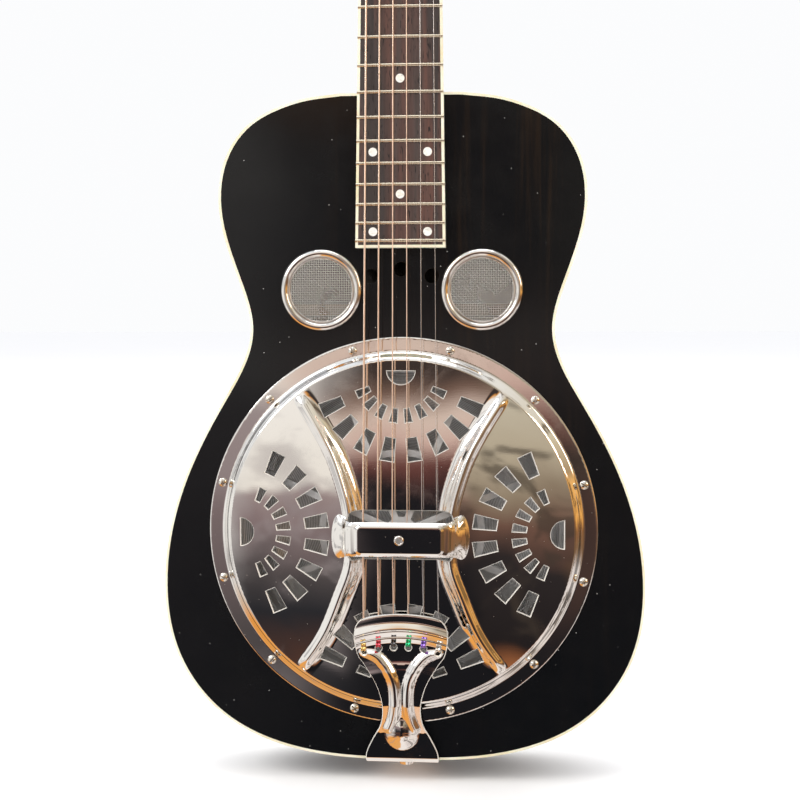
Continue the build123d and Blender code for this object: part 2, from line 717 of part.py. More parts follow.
with BuildPart() as tailpiece:
    with BuildSketch(side_view(90)):
        with BuildLine():
            FilletPolyline(*TAIL_UNDERSIDE, (TAIL_FACE, 2.4), (TAIL_FACE, -TAIL_WRAP), radius=2.0)
            offset(amount=TAIL_SHEET, side=Side.RIGHT)
        make_face()
    extrude(amount=50, both=True)
    with BuildSketch(front(-TAIL_WRAP - 10)):
        with BuildLine():
            head = Spline(*TAIL_HEAD, tangents=[(1, 0), (-0.62, -1)])
            waist = Spline(*TAIL_WAIST, tangents=[(-0.62, -1), (0.3, -1)])
            Polyline(waist @ 1, (TAIL_LEG[0], -180), (0, -180))
            mirror(about=Plane.YZ)
        make_face()
        for x, up in BALL_HOLES:
            with Locations((x, up), (-x, up)):
                Circle(BALL_HOLE_RADIUS, mode=Mode.SUBTRACT)
            with Locations((x, up + BALL_HOLE_RADIUS), (-x, up + BALL_HOLE_RADIUS)):
                Rectangle(2 * BALL_RADIUS + 0.3, 2 * BALL_RADIUS + 0.1, mode=Mode.SUBTRACT)
    extrude(amount=TAIL_WRAP + 40, mode=Mode.INTERSECT)
    with BuildSketch(Plane.XY.offset(-40)):
        with BuildLine():
            Polyline((0, FRONT_Y - 30), (50, FRONT_Y - 30), (50, FRONT_Y - 2), (TAIL_LEG[0], FRONT_Y - 2),
                     (TAIL_LEG[1], -2), (TAIL_LEG[1] - 4, FRONT_Y + TAIL_WRAP), (0, FRONT_Y + TAIL_WRAP))
            mirror(about=Plane.YZ)
        make_face()
        Circle(PIN_SHANK + 0.1, mode=Mode.SUBTRACT)
    extrude(amount=200, mode=Mode.INTERSECT)
save(tailpiece, "tailpiece")

with BuildPart() as string_ball_ends:
    for index in range(STRING_COUNT):
        seat = front(TAIL_UNDERSIDE[0][1] + BALL_RADIUS).from_local_coords((*ball_place(index), 0))
        with Locations(Location(seat, (0, 90, 0))):
            Cylinder(BALL_RADIUS, 3.6)
            Cylinder(0.8, 3.6, mode=Mode.SUBTRACT)
save(string_ball_ends, "string_ball_ends")

PIN_LENGTH = 15.0
pin_seat = -TAIL_SHEET - 0.25
with BuildPart() as end_pin:
    with BuildSketch(Plane.XZ):
        with BuildLine():
            Polyline((0, TAIL_BLOCK_LENGTH), (PIN_SHANK, TAIL_BLOCK_LENGTH - 3), (PIN_SHANK, pin_seat),
                     (7, pin_seat), (7, pin_seat - 2))
            Spline((7, pin_seat - 2), (4.2, pin_seat - 7), (6.8, pin_seat - PIN_LENGTH + 2.5))
            Polyline((6.8, pin_seat - PIN_LENGTH + 2.5), (5.5, pin_seat - PIN_LENGTH),
                     (0, pin_seat - PIN_LENGTH), (0, TAIL_BLOCK_LENGTH))
        make_face()
    revolve(axis=Axis.Z)
save(end_pin, "end_pin")

# ---------------------------------------------------------------- neck
NECK_DEPTH = (15.2, 17.5)     # under the fingerboard, at the nut and at the heel
SHAFT_START = 326.0
# Heel from the soundboard's level to the back: (height over the top, half width, reach up the neck).
HEEL = [(-1, 31.2, 46), (-12, 30, 40), (-18, 28.4, 35), (-28, 25.6, 27), (-45, 21.4, 20.5), (-65, 17.6, 17),
        (-BODY_DEPTH, 15, 15.5)]
TRUSS_CHANNEL = (6.0, 9.5)    # width and depth of the rod's groove
TRUSS_START = 340.0
TRUSS_AXIS = WOOD_TOP - 6.2
POCKET = (13.0, 34.0)         # opening for the truss rod's nut: width, length up the headstock


def neck_section(plane, half, depth, fullness=0.96):
    """A rounded neck profile hanging from a plane's x axis."""
    with BuildSketch(plane) as profile:
        with BuildLine():
            back = Spline(
                (half, 0), (half * fullness, -0.38 * depth), (0, -depth), (-half * fullness, -0.38 * depth),
                (-half, 0), tangents=[(0, -1), (0, 1)],
            )
            Line(back @ 1, back @ 0)
        make_face()
    return profile.sketch


def across(frame, along):
    """Plane square to a board or headstock plane, local y to the front."""
    return Plane(origin=frame.from_local_coords((0, along, 0)), x_dir=(1, 0, 0), z_dir=-frame.y_dir)


neck_top = BOARD.offset(WOOD_TOP)
shaft_low = neck_section(across(neck_top, SHAFT_START), board_half(SHAFT_START), NECK_DEPTH[1])
shaft_high = neck_section(across(neck_top, SCALE_LENGTH - 16), board_half(SCALE_LENGTH - 16), NECK_DEPTH[0])
throat_high = neck_section(across(HEAD, 15), 33, HEAD_THICK, fullness=1.0)
heel_plans = []
for height, half, reach in HEEL:
    with BuildSketch(front(height)) as heel_plan:
        with BuildLine():
            arc = EllipticalCenterArc((0, SHOULDER_REACH + 0.02), half, reach, arc_size=180)
            Line(arc @ 1, arc @ 0)
        make_face()
    heel_plans.append(heel_plan.sketch)

with BuildSketch(HEAD) as head_plan:
    with BuildLine():
        Line((0, 0), (BOARD_HALF_AT_NUT, 0))
        Spline((BOARD_HALF_AT_NUT, 0), (31, 8), (36.6, 20), tangents=[(0.1, 1), (0.05, 1)])
        Line((36.6, 20), (40, 146))
        Spline((40, 146), (31, 162), (0, HEAD_LENGTH), tangents=[(0.03, 1), (-1, 0)])
        mirror(about=Plane.YZ)
    make_face()

POST_SPOTS = [(side * x, up) for side in (-1, 1) for x, up in zip(POST_X, POST_UP)]
EAR_SPOTS = [(side * (x + EAR[0]), up + EAR[1]) for side in (-1, 1) for x, up in zip(POST_X, POST_UP)]

with BuildPart() as neck:
    loft(sections=[shaft_low, shaft_high])
    loft(sections=[shaft_high, throat_high])
    loft(sections=heel_plans)
    add(head_plan.sketch)
    extrude(amount=-HEAD_THICK)
    with BuildSketch(neck_top):
        with Locations((0, (TRUSS_START + HEAD_START) / 2)):
            Rectangle(TRUSS_CHANNEL[0], HEAD_START - TRUSS_START + 2)
    extrude(amount=-TRUSS_CHANNEL[1], mode=Mode.SUBTRACT)
    with BuildSketch(neck_top):
        with Locations((0, HEAD_START + POCKET[1] / 2)):
            Rectangle(POCKET[0], POCKET[1])
    extrude(amount=-TRUSS_CHANNEL[1] - 0.6, mode=Mode.SUBTRACT)
    with BuildSketch(HEAD):
        with Locations(*POST_SPOTS):
            Circle(5)
    extrude(amount=-HEAD_THICK, mode=Mode.SUBTRACT)
    with BuildSketch(HEAD_BACK):
        with Locations(*EAR_SPOTS):
            Circle(1.1)
    extrude(amount=8.2, mode=Mode.SUBTRACT)
    with BuildSketch(section(up=SHOULDER_REACH - 20)):
        Rectangle(200, 400)
    extrude(amount=20, mode=Mode.SUBTRACT)
    with Locations(*HEEL_BOLT_SPOTS):
        Cylinder(HEEL_BOLT_RADIUS, 2 * HEEL_BOLT_GRIP, mode=Mode.SUBTRACT)
save(neck, "neck")

BOLT_HEAD = (5.5, 4.0)
with BuildPart() as heel_bolts:
    with BuildSketch(Plane.XY.offset(CONE_Z + SHOULDER_REACH - NECK_BLOCK_LENGTH)):
        with Locations(*[(0, FRONT_Y - height) for height in HEEL_BOLT_HEIGHTS]):
            Circle(BOLT_HEAD[0])
            RegularPolygon(2.9, 6, mode=Mode.SUBTRACT)
    extrude(amount=-BOLT_HEAD[1])
    with BuildSketch(Plane.XY.offset(CONE_Z + SHOULDER_REACH - NECK_BLOCK_LENGTH - 1)):
        with Locations(*[(0, FRONT_Y - height) for height in HEEL_BOLT_HEIGHTS]):
            Circle(HEEL_BOLT_RADIUS)
    extrude(amount=NECK_BLOCK_LENGTH + 1 + HEEL_BOLT_GRIP)
save(heel_bolts, "heel_bolts")

# ---------------------------------------------------------------- fingerboard
crown_centre = BOARD.from_local_coords((0, (BOARD_END + SCALE_LENGTH) / 2, -BOARD_CROWN))
crown_seat = Location(Plane(origin=crown_centre, x_dir=(1, 0, 0), z_dir=BOARD.y_dir))


def board_plan(inset, start, stop):
    """The fingerboard's tapered plan, drawn in at its sides by inset."""
    with BuildSketch() as plan:
        with BuildLine():
            Polyline(
                (0, start), (board_half(start) - inset, start), (board_half(stop) - inset, stop), (0, stop)
            )
            mirror(about=Plane.YZ)
        make_face()
    return plan.sketch


bound_plan = board_plan(0.0, BOARD_END, SCALE_LENGTH)
wood_plan = board_plan(BOARD_BINDING, BOARD_END + BOARD_BINDING, SCALE_LENGTH)
DOT_SPOTS = [(0, number) for number in SINGLE_DOTS]
DOT_SPOTS += [(side * DOUBLE_DOT_X, number) for number in DOUBLE_DOTS for side in (-1, 1)]
DOT_PLACES = [(x, (fret_place(number) + fret_place(number - 1)) / 2) for x, number in DOT_SPOTS]
DOT_DEPTH = 2.0

# The board, and under its end the tongue that rests on the soundboard.
with BuildPart() as board_bed:
    with BuildSketch(BOARD.offset(WOOD_TOP)):
        with Locations((0, (BOARD_END + SHOULDER_REACH) / 2)):
            Rectangle(2 * BOARD_HALF_AT_END, SHOULDER_REACH - BOARD_END - 0.2)
        add(bound_plan, mode=Mode.INTERSECT)
    extrude(amount=-BOARD_OVER_CONE)
    with BuildSketch(front()):
        Rectangle(4 * BOARD_HALF_AT_END, 2 * SCALE_LENGTH)
    extrude(amount=BOARD_OVER_CONE, mode=Mode.INTERSECT)
    with BuildSketch(BOARD.offset(WOOD_TOP)):
        add(bound_plan)
    extrude(amount=BOARD_THICK + 1)
    with Locations(crown_seat):
        Cylinder(BOARD_CROWN, 600, mode=Mode.INTERSECT)

with BuildPart() as fingerboard:
    add(board_bed.part)
    with BuildSketch(BOARD.offset(-20)):
        add(wood_plan)
    extrude(amount=40, mode=Mode.INTERSECT)
    with BuildSketch(BOARD.offset(-DOT_DEPTH)):
        with Locations(*DOT_PLACES):
            Circle(DOT_RADIUS)
    extrude(amount=10, mode=Mode.SUBTRACT)
save(fingerboard, "fingerboard")

with BuildPart() as fingerboard_binding:
    add(board_bed.part)
    with BuildSketch(BOARD.offset(-20)):
        add(wood_plan)
    extrude(amount=40, mode=Mode.SUBTRACT)
save(fingerboard_binding, "fingerboard_binding")

with BuildPart() as position_markers:
    with BuildSketch(BOARD.offset(-DOT_DEPTH)):
        with Locations(*DOT_PLACES):
            Circle(DOT_RADIUS)
    extrude(amount=10)
    with Locations(crown_seat):
        Cylinder(BOARD_CROWN, 600, mode=Mode.INTERSECT)
save(position_markers, "position_markers")

with BuildPart() as fret_wires:
    for number in range(1, FRET_COUNT + 1):
        along = fret_place(number)
        swing = degrees(asin(board_half(along) / BOARD_CROWN))
        axis_point = BOARD.from_local_coords((0, along, -BOARD_CROWN))
        with BuildSketch(Plane(origin=axis_point, x_dir=BOARD.y_dir, z_dir=(1, 0, 0))):
            with BuildLine():
                bead = EllipticalCenterArc((0, BOARD_CROWN + 0.01), FRET_WIDTH / 2, FRET_HEIGHT, arc_size=180)
                Line(bead @ 1, bead @ 0)
            make_face()
        revolve(axis=Axis(axis_point, BOARD.y_dir), revolution_arc=swing)
    mirror(about=Plane.YZ)
save(fret_wires, "fret_wires")

NUT_OVER = 1.6                # nut over the crown, beside its slots
with BuildPart() as nut:
    with BuildSketch(BOARD.offset(WOOD_TOP)):
        with Locations((0, SCALE_LENGTH + NUT_THICK / 2)):
            Rectangle(2 * BOARD_HALF_AT_NUT, NUT_THICK)
    extrude(amount=BOARD_THICK + NUT_OVER + 2)
    nut_crown = Plane(
        origin=BOARD.from_local_coords((0, SCALE_LENGTH, NUT_OVER - BOARD_CROWN)), x_dir=(1, 0, 0),
        z_dir=BOARD.y_dir,
    )
    with Locations(Location(nut_crown)):
        Cylinder(BOARD_CROWN, 40, mode=Mode.INTERSECT)
    for cut in [groove(index, 3, toward) for index in range(STRING_COUNT) for toward in (2, 4)]:
        add(cut, mode=Mode.SUBTRACT)
save(nut, "nut")

with BuildPart() as headstock_veneer:
    with BuildSketch(HEAD):
        add(head_plan.sketch_local)
        with Locations((0, POCKET[1] / 2)):
            Rectangle(POCKET[0], POCKET[1], mode=Mode.SUBTRACT)
        with Locations(*POST_SPOTS):
            Circle(5, mode=Mode.SUBTRACT)
        with Locations((0, 41), (0, -1)):
            Circle(0.9, mode=Mode.SUBTRACT)
    extrude(amount=VENEER)
    with BuildSketch(BOARD):
        with Locations((0, SCALE_LENGTH + NUT_THICK / 2)):
            Rectangle(100, NUT_THICK)
    extrude(amount=-BOARD_THICK, mode=Mode.SUBTRACT)
save(headstock_veneer, "headstock_veneer")

# ---------------------------------------------------------------- truss rod
ROD_RADIUS = 2.6
NUT_RADIUS = 3.4
ROD_END = HEAD_START + 3
with BuildPart() as truss_rod:
    with BuildSketch(Plane(origin=BOARD.from_local_coords((0, TRUSS_START, TRUSS_AXIS)), x_dir=(1, 0, 0),
                           z_dir=BOARD.y_dir)):
        Circle(ROD_RADIUS)
    extrude(amount=ROD_END - TRUSS_START)
    with BuildSketch(Plane(origin=BOARD.from_local_coords((0, TRUSS_START, TRUSS_AXIS)), x_dir=(1, 0, 0),
                           z_dir=BOARD.y_dir)):
        Rectangle(TRUSS_CHANNEL[0] - 0.1, TRUSS_CHANNEL[0] - 0.1)
    extrude(amount=14)
save(truss_rod, "truss_rod")

nut_plane = Plane(
    origin=BOARD.from_local_coords((0, ROD_END + 0.1, TRUSS_AXIS)), x_dir=(1, 0, 0), z_dir=BOARD.y_dir
)
with BuildPart() as truss_rod_nut:
    with BuildSketch(nut_plane):
        Circle(NUT_RADIUS)
    extrude(amount=12)
    with BuildSketch(nut_plane.offset(6)):
        RegularPolygon(2.2, 6)
    extrude(amount=7, mode=Mode.SUBTRACT)
save(truss_rod_nut, "truss_rod_nut")

with BuildPart() as truss_rod_cover:
    with BuildSketch(HEAD.offset(VENEER)):
        with BuildLine():
            Line((0, 3), (13, 3))
            Spline((13, 3), (12.5, 14), (8, 33), (0, 47), tangents=[(0.1, 1), (-1, 0.2)])
            mirror(about=Plane.YZ)
        make_face()
        with Locations((0, 41)):
            Circle(1.05, mode=Mode.SUBTRACT)
    extrude(amount=2)
save(truss_rod_cover, "truss_rod_cover")

# ---------------------------------------------------------------- tuners
# Every tuner piece is drawn at the origin.  A post's z runs out of the headstock's face, with its
# z = 0 at the headstock's back.  A key shaft's z runs out to its button, and its gear lies along +x.
SHAFT_RADIUS = 1.8
SHAFT_ENDS = (-6.5, 27.0)
BUTTON_COLLAR = (17.0, 19.6)
BUTTON_HALF = (7.4, 9.2, 3.9)             # along the shaft, across it, and half thick
POST_PIVOT = 1.9
POST_FOOT = -10.2
POST_TOP = HEAD_THICK + 18.0
HOLE_LEVEL = HEAD_THICK + STRING_ON_POST
JOURNAL = -8.0                            # where the post steps down to its pivot
CAVITY_RADIUS = 6.0
CAVITY_TOP = -4.4
WORM_ROOM = 3.4
HOUSING_X = (-8.5, 10.5)
HOUSING_Y = (-9.0, 13.6)
HOUSING_DEPTH = 10.4
CAP_THICK = 1.3
SLEEVE_RADIUS = 4.95
WASHER = (6.8, 0.8)
HEX_HEIGHT = 3.0

with BuildSketch() as tooth:
    with BuildLine():
        Polyline(
            (GEAR_ROOT - 0.4, -0.56), (GEAR_TIP, -0.22), (GEAR_TIP, 0.22), (GEAR_ROOT - 0.4, 0.56), close=True
        )
    make_face()

with BuildPart() as post_master:
    with BuildSketch(Plane.XY.offset(JOURNAL)):
        Circle(POST_RADIUS)
    extrude(amount=POST_TOP - JOURNAL)
    chamfer(post_master.faces().sort_by(Axis.Z)[-1].edges(), length=0.7)
    with BuildSketch(Plane.XY.offset(POST_FOOT)):
        Circle(POST_PIVOT)
    extrude(amount=JOURNAL - POST_FOOT)
    with BuildSketch(Plane.XY.offset(-GEAR_DEPTH - GEAR_WIDTH / 2)):
        Circle(GEAR_ROOT)
        with PolarLocations(0, GEAR_TEETH, start_angle=90 + 180 / GEAR_TEETH):
            add(tooth.sketch)
    extrude(amount=GEAR_WIDTH)
    with BuildSketch(Plane.XZ):
        with Locations((0, HOLE_LEVEL)):
            Circle(0.95)
    extrude(amount=10, both=True, mode=Mode.SUBTRACT)

with BuildPart() as shaft_master:
    with BuildSketch(Plane.XY.offset(SHAFT_ENDS[0])):
        Circle(SHAFT_RADIUS)
    extrude(amount=SHAFT_ENDS[1] - SHAFT_ENDS[0])
    with BuildLine(Plane.XY.offset(-WORM_HALF_LENGTH)):
        thread_path = Helix(WORM_PITCH, 2 * WORM_HALF_LENGTH, WORM_ROOT)
    with BuildSketch(Plane(origin=thread_path @ 0, x_dir=(1, 0, 0), z_dir=thread_path % 0)):
        with BuildLine():
            Polyline((-0.3, -0.56), (WORM_TIP - WORM_ROOT, -0.26), (WORM_TIP - WORM_ROOT, 0.26), (-0.3, 0.56),
                     close=True)
        make_face()
    sweep(path=thread_path, is_frenet=True)

with BuildPart() as button_master:
    with BuildSketch(Plane.XZ):
        with Locations((0, BUTTON_COLLAR[1] + BUTTON_HALF[0] - 0.8)):
            Ellipse(BUTTON_HALF[1], BUTTON_HALF[0])
    extrude(amount=BUTTON_HALF[2], both=True)
    fillet(button_master.edges(), radius=2.6)
    with BuildSketch(Plane.XY.offset(BUTTON_COLLAR[0])):
        Circle(3.3)
    extrude(amount=BUTTON_COLLAR[1] - BUTTON_COLLAR[0] + 3)
    with BuildSketch(Plane.XY.offset(BUTTON_COLLAR[0])):
        Circle(SHAFT_RADIUS)
    extrude(amount=SHAFT_ENDS[1] - BUTTON_COLLAR[0], mode=Mode.SUBTRACT)

with BuildPart() as housing_master:
    with BuildSketch():
        with Locations((sum(HOUSING_X) / 2, sum(HOUSING_Y) / 2)):
            RectangleRounded(HOUSING_X[1] - HOUSING_X[0], HOUSING_Y[1] - HOUSING_Y[0], 4)
    extrude(amount=-HOUSING_DEPTH)
    with BuildSketch():
        with Locations(EAR[:2]):
            Circle(EAR[2])
    extrude(amount=-EAR[3])
    with BuildSketch():
        Circle(POST_RADIUS + RUNNING)
        with Locations(EAR[:2]):
            Circle(1.1)
    extrude(amount=-HOUSING_DEPTH, mode=Mode.SUBTRACT)
    with BuildSketch(Plane.XY.offset(CAVITY_TOP)):
        Circle(CAVITY_RADIUS)
    extrude(amount=-HOUSING_DEPTH, mode=Mode.SUBTRACT)
    with BuildSketch(Plane(origin=(-5, WORM_OFFSET, -GEAR_DEPTH), x_dir=(0, 1, 0), z_dir=(1, 0, 0))):
        Circle(WORM_ROOM)
    extrude(amount=10, mode=Mode.SUBTRACT)
    with BuildSketch(Plane(origin=(SHAFT_ENDS[0] - 0.2, WORM_OFFSET, -GEAR_DEPTH), x_dir=(0, 1, 0),
                           z_dir=(1, 0, 0))):
        Circle(SHAFT_RADIUS + RUNNING)
    extrude(amount=30, mode=Mode.SUBTRACT)

with BuildPart() as cap_master:
    with BuildSketch(Plane.XY.offset(-HOUSING_DEPTH)):
        with Locations((sum(HOUSING_X) / 2, sum(HOUSING_Y) / 2)):
            RectangleRounded(HOUSING_X[1] - HOUSING_X[0], HOUSING_Y[1] - HOUSING_Y[0], 4)
    extrude(amount=-CAP_THICK)
    fillet(cap_master.faces().sort_by(Axis.Z)[0].edges(), radius=1)
    with BuildSketch(Plane.XY.offset(-HOUSING_DEPTH)):
        Circle(CAVITY_RADIUS - 0.1)
    extrude(amount=HOUSING_DEPTH + JOURNAL - 0.1)
    with BuildSketch(Plane.XY.offset(-HOUSING_DEPTH - 0.2)):
        Circle(POST_PIVOT + RUNNING)
    extrude(amount=HOUSING_DEPTH + JOURNAL + 1, mode=Mode.SUBTRACT)
    with BuildSketch(Plane(origin=(-5.5, WORM_OFFSET, -GEAR_DEPTH), x_dir=(0, 1, 0), z_dir=(1, 0, 0))):
        Circle(WORM_ROOM)
    extrude(amount=11, mode=Mode.SUBTRACT)

with BuildPart() as bushing_master:
    with BuildSketch(Plane.XY.offset(HEAD_THICK - 8)):
        Circle(SLEEVE_RADIUS)
    extrude(amount=8 + VENEER)
    with BuildSketch(Plane.XY.offset(HEAD_THICK + VENEER)):
        Circle(WASHER[0])
    extrude(amount=WASHER[1])
    with BuildSketch(Plane.XY.offset(HEAD_THICK + VENEER + WASHER[1])):
        RegularPolygon(5.8, 6)
    extrude(amount=HEX_HEIGHT)
    chamfer(bushing_master.faces().sort_by(Axis.Z)[-1].edges(), length=0.5)
    with BuildSketch(Plane.XY.offset(HEAD_THICK - 8)):
        Circle(POST_RADIUS + RUNNING)
    extrude(amount=20, mode=Mode.SUBTRACT)

with BuildPart() as ear_screw_master:
    with BuildSketch(Plane.XY.offset(-EAR[3])):
        with Locations(EAR[:2]):
            Circle(2.3)
    extrude(amount=-1.4, taper=20)
    with BuildSketch(Plane.XY.offset(-EAR[3])):
        with Locations(EAR[:2]):
            Circle(1.05)
    extrude(amount=EAR[3] + 8)


def post_place(index):
    """Where a string's post stands on the headstock's back: x to the treble, z to the front."""
    number = post_of(index)
    return Plane(
        origin=HEAD_BACK.from_local_coords((string_side(index) * POST_X[number], POST_UP[number], 0)),
        x_dir=(1, 0, 0), z_dir=HEAD.z_dir,
    )


def shaft_place(index):
    """Where a string's key shaft lies: z out to the button, x towards the gear."""
    spot = post_place(index).from_local_coords((0, WORM_OFFSET, -GEAR_DEPTH))
    return Plane(origin=spot, x_dir=-HEAD.y_dir, z_dir=(string_side(index), 0, 0))


def handed(master, index):
    """A tuner piece as drawn for the treble side, or its mirror image for the bass side."""
    return master.part if string_side(index) > 0 else mirror(master.part, about=Plane.YZ, mode=Mode.PRIVATE)


# Strings count from the bass; tuners are numbered the way players number strings, treble first.
for index in range(STRING_COUNT):
    number = STRING_COUNT - index
    for master, place, name in (
        (post_master, post_place(index), "string_post"),
        (shaft_master, shaft_place(index), "worm_shaft"),
        (button_master, shaft_place(index), "tuner_button"),
    ):
        with BuildPart() as piece:
            with Locations(Location(place)):
                add(master.part)
        save(piece, f"{name}_{number}")

for master, name in (
    (housing_master, "tuner_housings"), (cap_master, "tuner_caps"), (bushing_master, "tuner_bushings"),
):
    copies = [handed(master, index) for index in range(STRING_COUNT)]
    with BuildPart() as group:
        for index in range(STRING_COUNT):
            with Locations(Location(post_place(index))):
                add(copies[index])
    save(group, name)

ear_screws = [handed(ear_screw_master, index) for index in range(STRING_COUNT)]
with BuildPart() as headstock_screws:
    for index in range(STRING_COUNT):
        with Locations(Location(post_place(index))):
            add(ear_screws[index])
    with BuildSketch(HEAD.offset(VENEER + 2)):
        with Locations((0, 41)):
            Circle(2)
    extrude(amount=1.2, taper=20)
    with BuildSketch(HEAD.offset(VENEER + 2)):
        with Locations((0, 41)):
            Circle(0.85)
    extrude(amount=-2 - VENEER)
save(headstock_screws, "headstock_screws")
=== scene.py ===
"""Looks of the spider-bridge resonator guitar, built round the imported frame.

Everything is in the frame's own metres.  Plans are drawn in millimetres about the cone's centre,
as (x, up), and placed by at(), because the whole front of the guitar is laid out from there.
"""
import json
from math import cos, pi, radians, sin, sqrt

import bmesh
import bpy
import numpy as np
from mathutils import Matrix, Vector, geometry


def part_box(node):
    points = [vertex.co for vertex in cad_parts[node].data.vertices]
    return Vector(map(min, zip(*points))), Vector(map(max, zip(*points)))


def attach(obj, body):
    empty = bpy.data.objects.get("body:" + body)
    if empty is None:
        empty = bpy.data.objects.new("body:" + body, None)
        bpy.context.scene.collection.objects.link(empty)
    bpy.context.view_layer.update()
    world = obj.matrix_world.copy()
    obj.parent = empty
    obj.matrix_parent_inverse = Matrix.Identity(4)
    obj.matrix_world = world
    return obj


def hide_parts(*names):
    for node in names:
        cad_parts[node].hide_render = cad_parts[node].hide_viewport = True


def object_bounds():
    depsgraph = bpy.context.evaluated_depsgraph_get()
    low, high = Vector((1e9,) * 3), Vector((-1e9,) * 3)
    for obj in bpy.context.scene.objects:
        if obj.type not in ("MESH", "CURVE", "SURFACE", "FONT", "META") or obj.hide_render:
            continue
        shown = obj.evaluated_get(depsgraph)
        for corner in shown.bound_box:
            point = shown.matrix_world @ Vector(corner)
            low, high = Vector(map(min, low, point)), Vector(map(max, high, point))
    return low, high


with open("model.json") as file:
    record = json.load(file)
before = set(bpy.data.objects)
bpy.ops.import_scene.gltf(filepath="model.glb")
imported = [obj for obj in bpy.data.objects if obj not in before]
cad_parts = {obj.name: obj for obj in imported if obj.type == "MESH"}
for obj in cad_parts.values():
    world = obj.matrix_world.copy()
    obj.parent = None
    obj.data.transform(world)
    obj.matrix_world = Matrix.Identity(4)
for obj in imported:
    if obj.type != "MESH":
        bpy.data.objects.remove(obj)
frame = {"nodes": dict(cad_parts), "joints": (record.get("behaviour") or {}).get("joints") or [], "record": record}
cad_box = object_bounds()
nodes = frame["nodes"]
scene = bpy.context.scene

MM = 0.001
STRING_COUNT = 6

# ---------------------------------------------------------------- places read from the frame
cover_low, cover_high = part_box("coverplate")
board_low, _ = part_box("soundboard")
FRONT = board_low.y                              # outer face of the soundboard
CONE = (cover_low.z + cover_high.z) / 2          # height of the cone's centre
COVER_RADIUS = (cover_high.x - cover_low.x) / 2 / MM
rest_low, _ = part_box("palm_rest")
REST_TOP = (FRONT - rest_low.y) / MM


def at(x, up, height=0.0):
    """A point of the front, in metres, from millimetres about the cone's centre."""
    return Vector((x * MM, FRONT - height * MM, CONE + up * MM))


def on_front(x, up, height):
    """The same for whole arrays of points."""
    return np.stack([x * MM, FRONT - height * MM, CONE + up * MM], 1)


# ---------------------------------------------------------------- camera, light and floor
LENS = 63.0
EYE = Vector((0.0816, -1.0769, 0.3485))
LOOK = Vector((-0.0796, 0.9942, -0.0727))
ROLL = -0.0026


def add_camera():
    """The camera stands a little to the treble side and above the cone, looking slightly down."""
    data = bpy.data.cameras.new("camera")
    data.lens = LENS
    data.sensor_width = 36.0
    data.clip_start = 0.05
    camera = bpy.data.objects.new("camera", data)
    scene.collection.objects.link(camera)
    camera.location = EYE
    aim = LOOK.to_track_quat("-Z", "Y").to_matrix().to_4x4()
    camera.matrix_world = Matrix.Translation(EYE) @ aim @ Matrix.Rotation(ROLL, 4, "Z")
    scene.camera = camera


def add_area(name, place, aim, size, power, colour):
    """A soft rectangular lamp at a place, pointing at another."""
    data = bpy.data.lights.new(name, "AREA")
    data.shape = "RECTANGLE"
    data.size, data.size_y = size
    data.energy = power
    data.color = colour
    lamp = bpy.data.objects.new(name, data)
    scene.collection.objects.link(lamp)
    lamp.location = place
    lamp.rotation_euler = (Vector(aim) - Vector(place)).to_track_quat("-Z", "Y").to_euler()


# ---------------------------------------------------------------- node helpers
class Nodes:
    """Short names for building a node tree."""

    def __init__(self, tree):
        self.tree = tree
        tree.nodes.clear()

    def make(self, kind, **settings):
        node = self.tree.nodes.new(kind)
        for key, value in settings.items():
            setattr(node, key, value)
        return node

    def link(self, source, target):
        self.tree.links.new(source, target)

    def math(self, operation, first, second=0.0, clamp=False):
        node = self.make("ShaderNodeMath", operation=operation, use_clamp=clamp)
        for socket, value in zip(node.inputs, (first, second)):
            if isinstance(value, (int, float)):
                socket.default_value = value
            else:
                self.link(value, socket)
        return node.outputs[0]

    def ramp(self, source, stops, interpolation="LINEAR"):
        node = self.make("ShaderNodeValToRGB")
        node.color_ramp.interpolation = interpolation
        while len(node.color_ramp.elements) < len(stops):
            node.color_ramp.elements.new(0.5)
        for element, (place, colour) in zip(node.color_ramp.elements, stops):
            element.position = place
            element.color = colour if len(colour) == 4 else (*colour, 1.0)
        self.link(source, node.inputs[0])
        return node.outputs["Color"]

    def coords(self, scale=(1, 1, 1)):
        """Object coordinates, in metres of the frame, stretched by a scale."""
        place = self.make("ShaderNodeTexCoord")
        stretch = self.make("ShaderNodeMapping")
        stretch.inputs["Scale"].default_value = scale
        self.link(place.outputs["Object"], stretch.inputs["Vector"])
        return stretch.outputs["Vector"]

    def noise(self, vector, scale, detail=3.0, roughness=0.5, distortion=0.0):
        node = self.make("ShaderNodeTexNoise")
        node.inputs["Scale"].default_value = scale
        node.inputs["Detail"].default_value = detail
        node.inputs["Roughness"].default_value = roughness
        node.inputs["Distortion"].default_value = distortion
        self.link(vector, node.inputs["Vector"])
        return node.outputs["Fac"]

    def mix(self, share, first, second, blend="MIX"):
        node = self.make("ShaderNodeMix", data_type="RGBA", blend_type=blend)
        for socket, value in ((node.inputs[0], share), (node.inputs[6], first), (node.inputs[7], second)):
            if isinstance(value, (int, float)):
                socket.default_value = value
            elif isinstance(value, tuple):
                socket.default_value = value if len(value) == 4 else (*value, 1.0)
            else:
                self.link(value, socket)
        return node.outputs[2]

    def span(self, source, low, high, to_low=0.0, to_high=1.0):
        node = self.make("ShaderNodeMapRange", interpolation_type="SMOOTHSTEP")
        for socket, value in zip(node.inputs[1:5], (low, high, to_low, to_high)):
            socket.default_value = value
        self.link(source, node.inputs[0])
        return node.outputs[0]


MATERIALS = {}


def dust(tree, colour, per_metre, size):
    """A colour with sparse pale specks of dust, all of one size in metres."""
    cells = tree.make("ShaderNodeTexVoronoi")
    cells.inputs["Scale"].default_value = per_metre
    tree.link(tree.coords(), cells.inputs["Vector"])
    speck = tree.math("LESS_THAN", cells.outputs["Distance"], size * per_metre)
    return tree.mix(speck, colour, (0.62, 0.60, 0.56)), speck


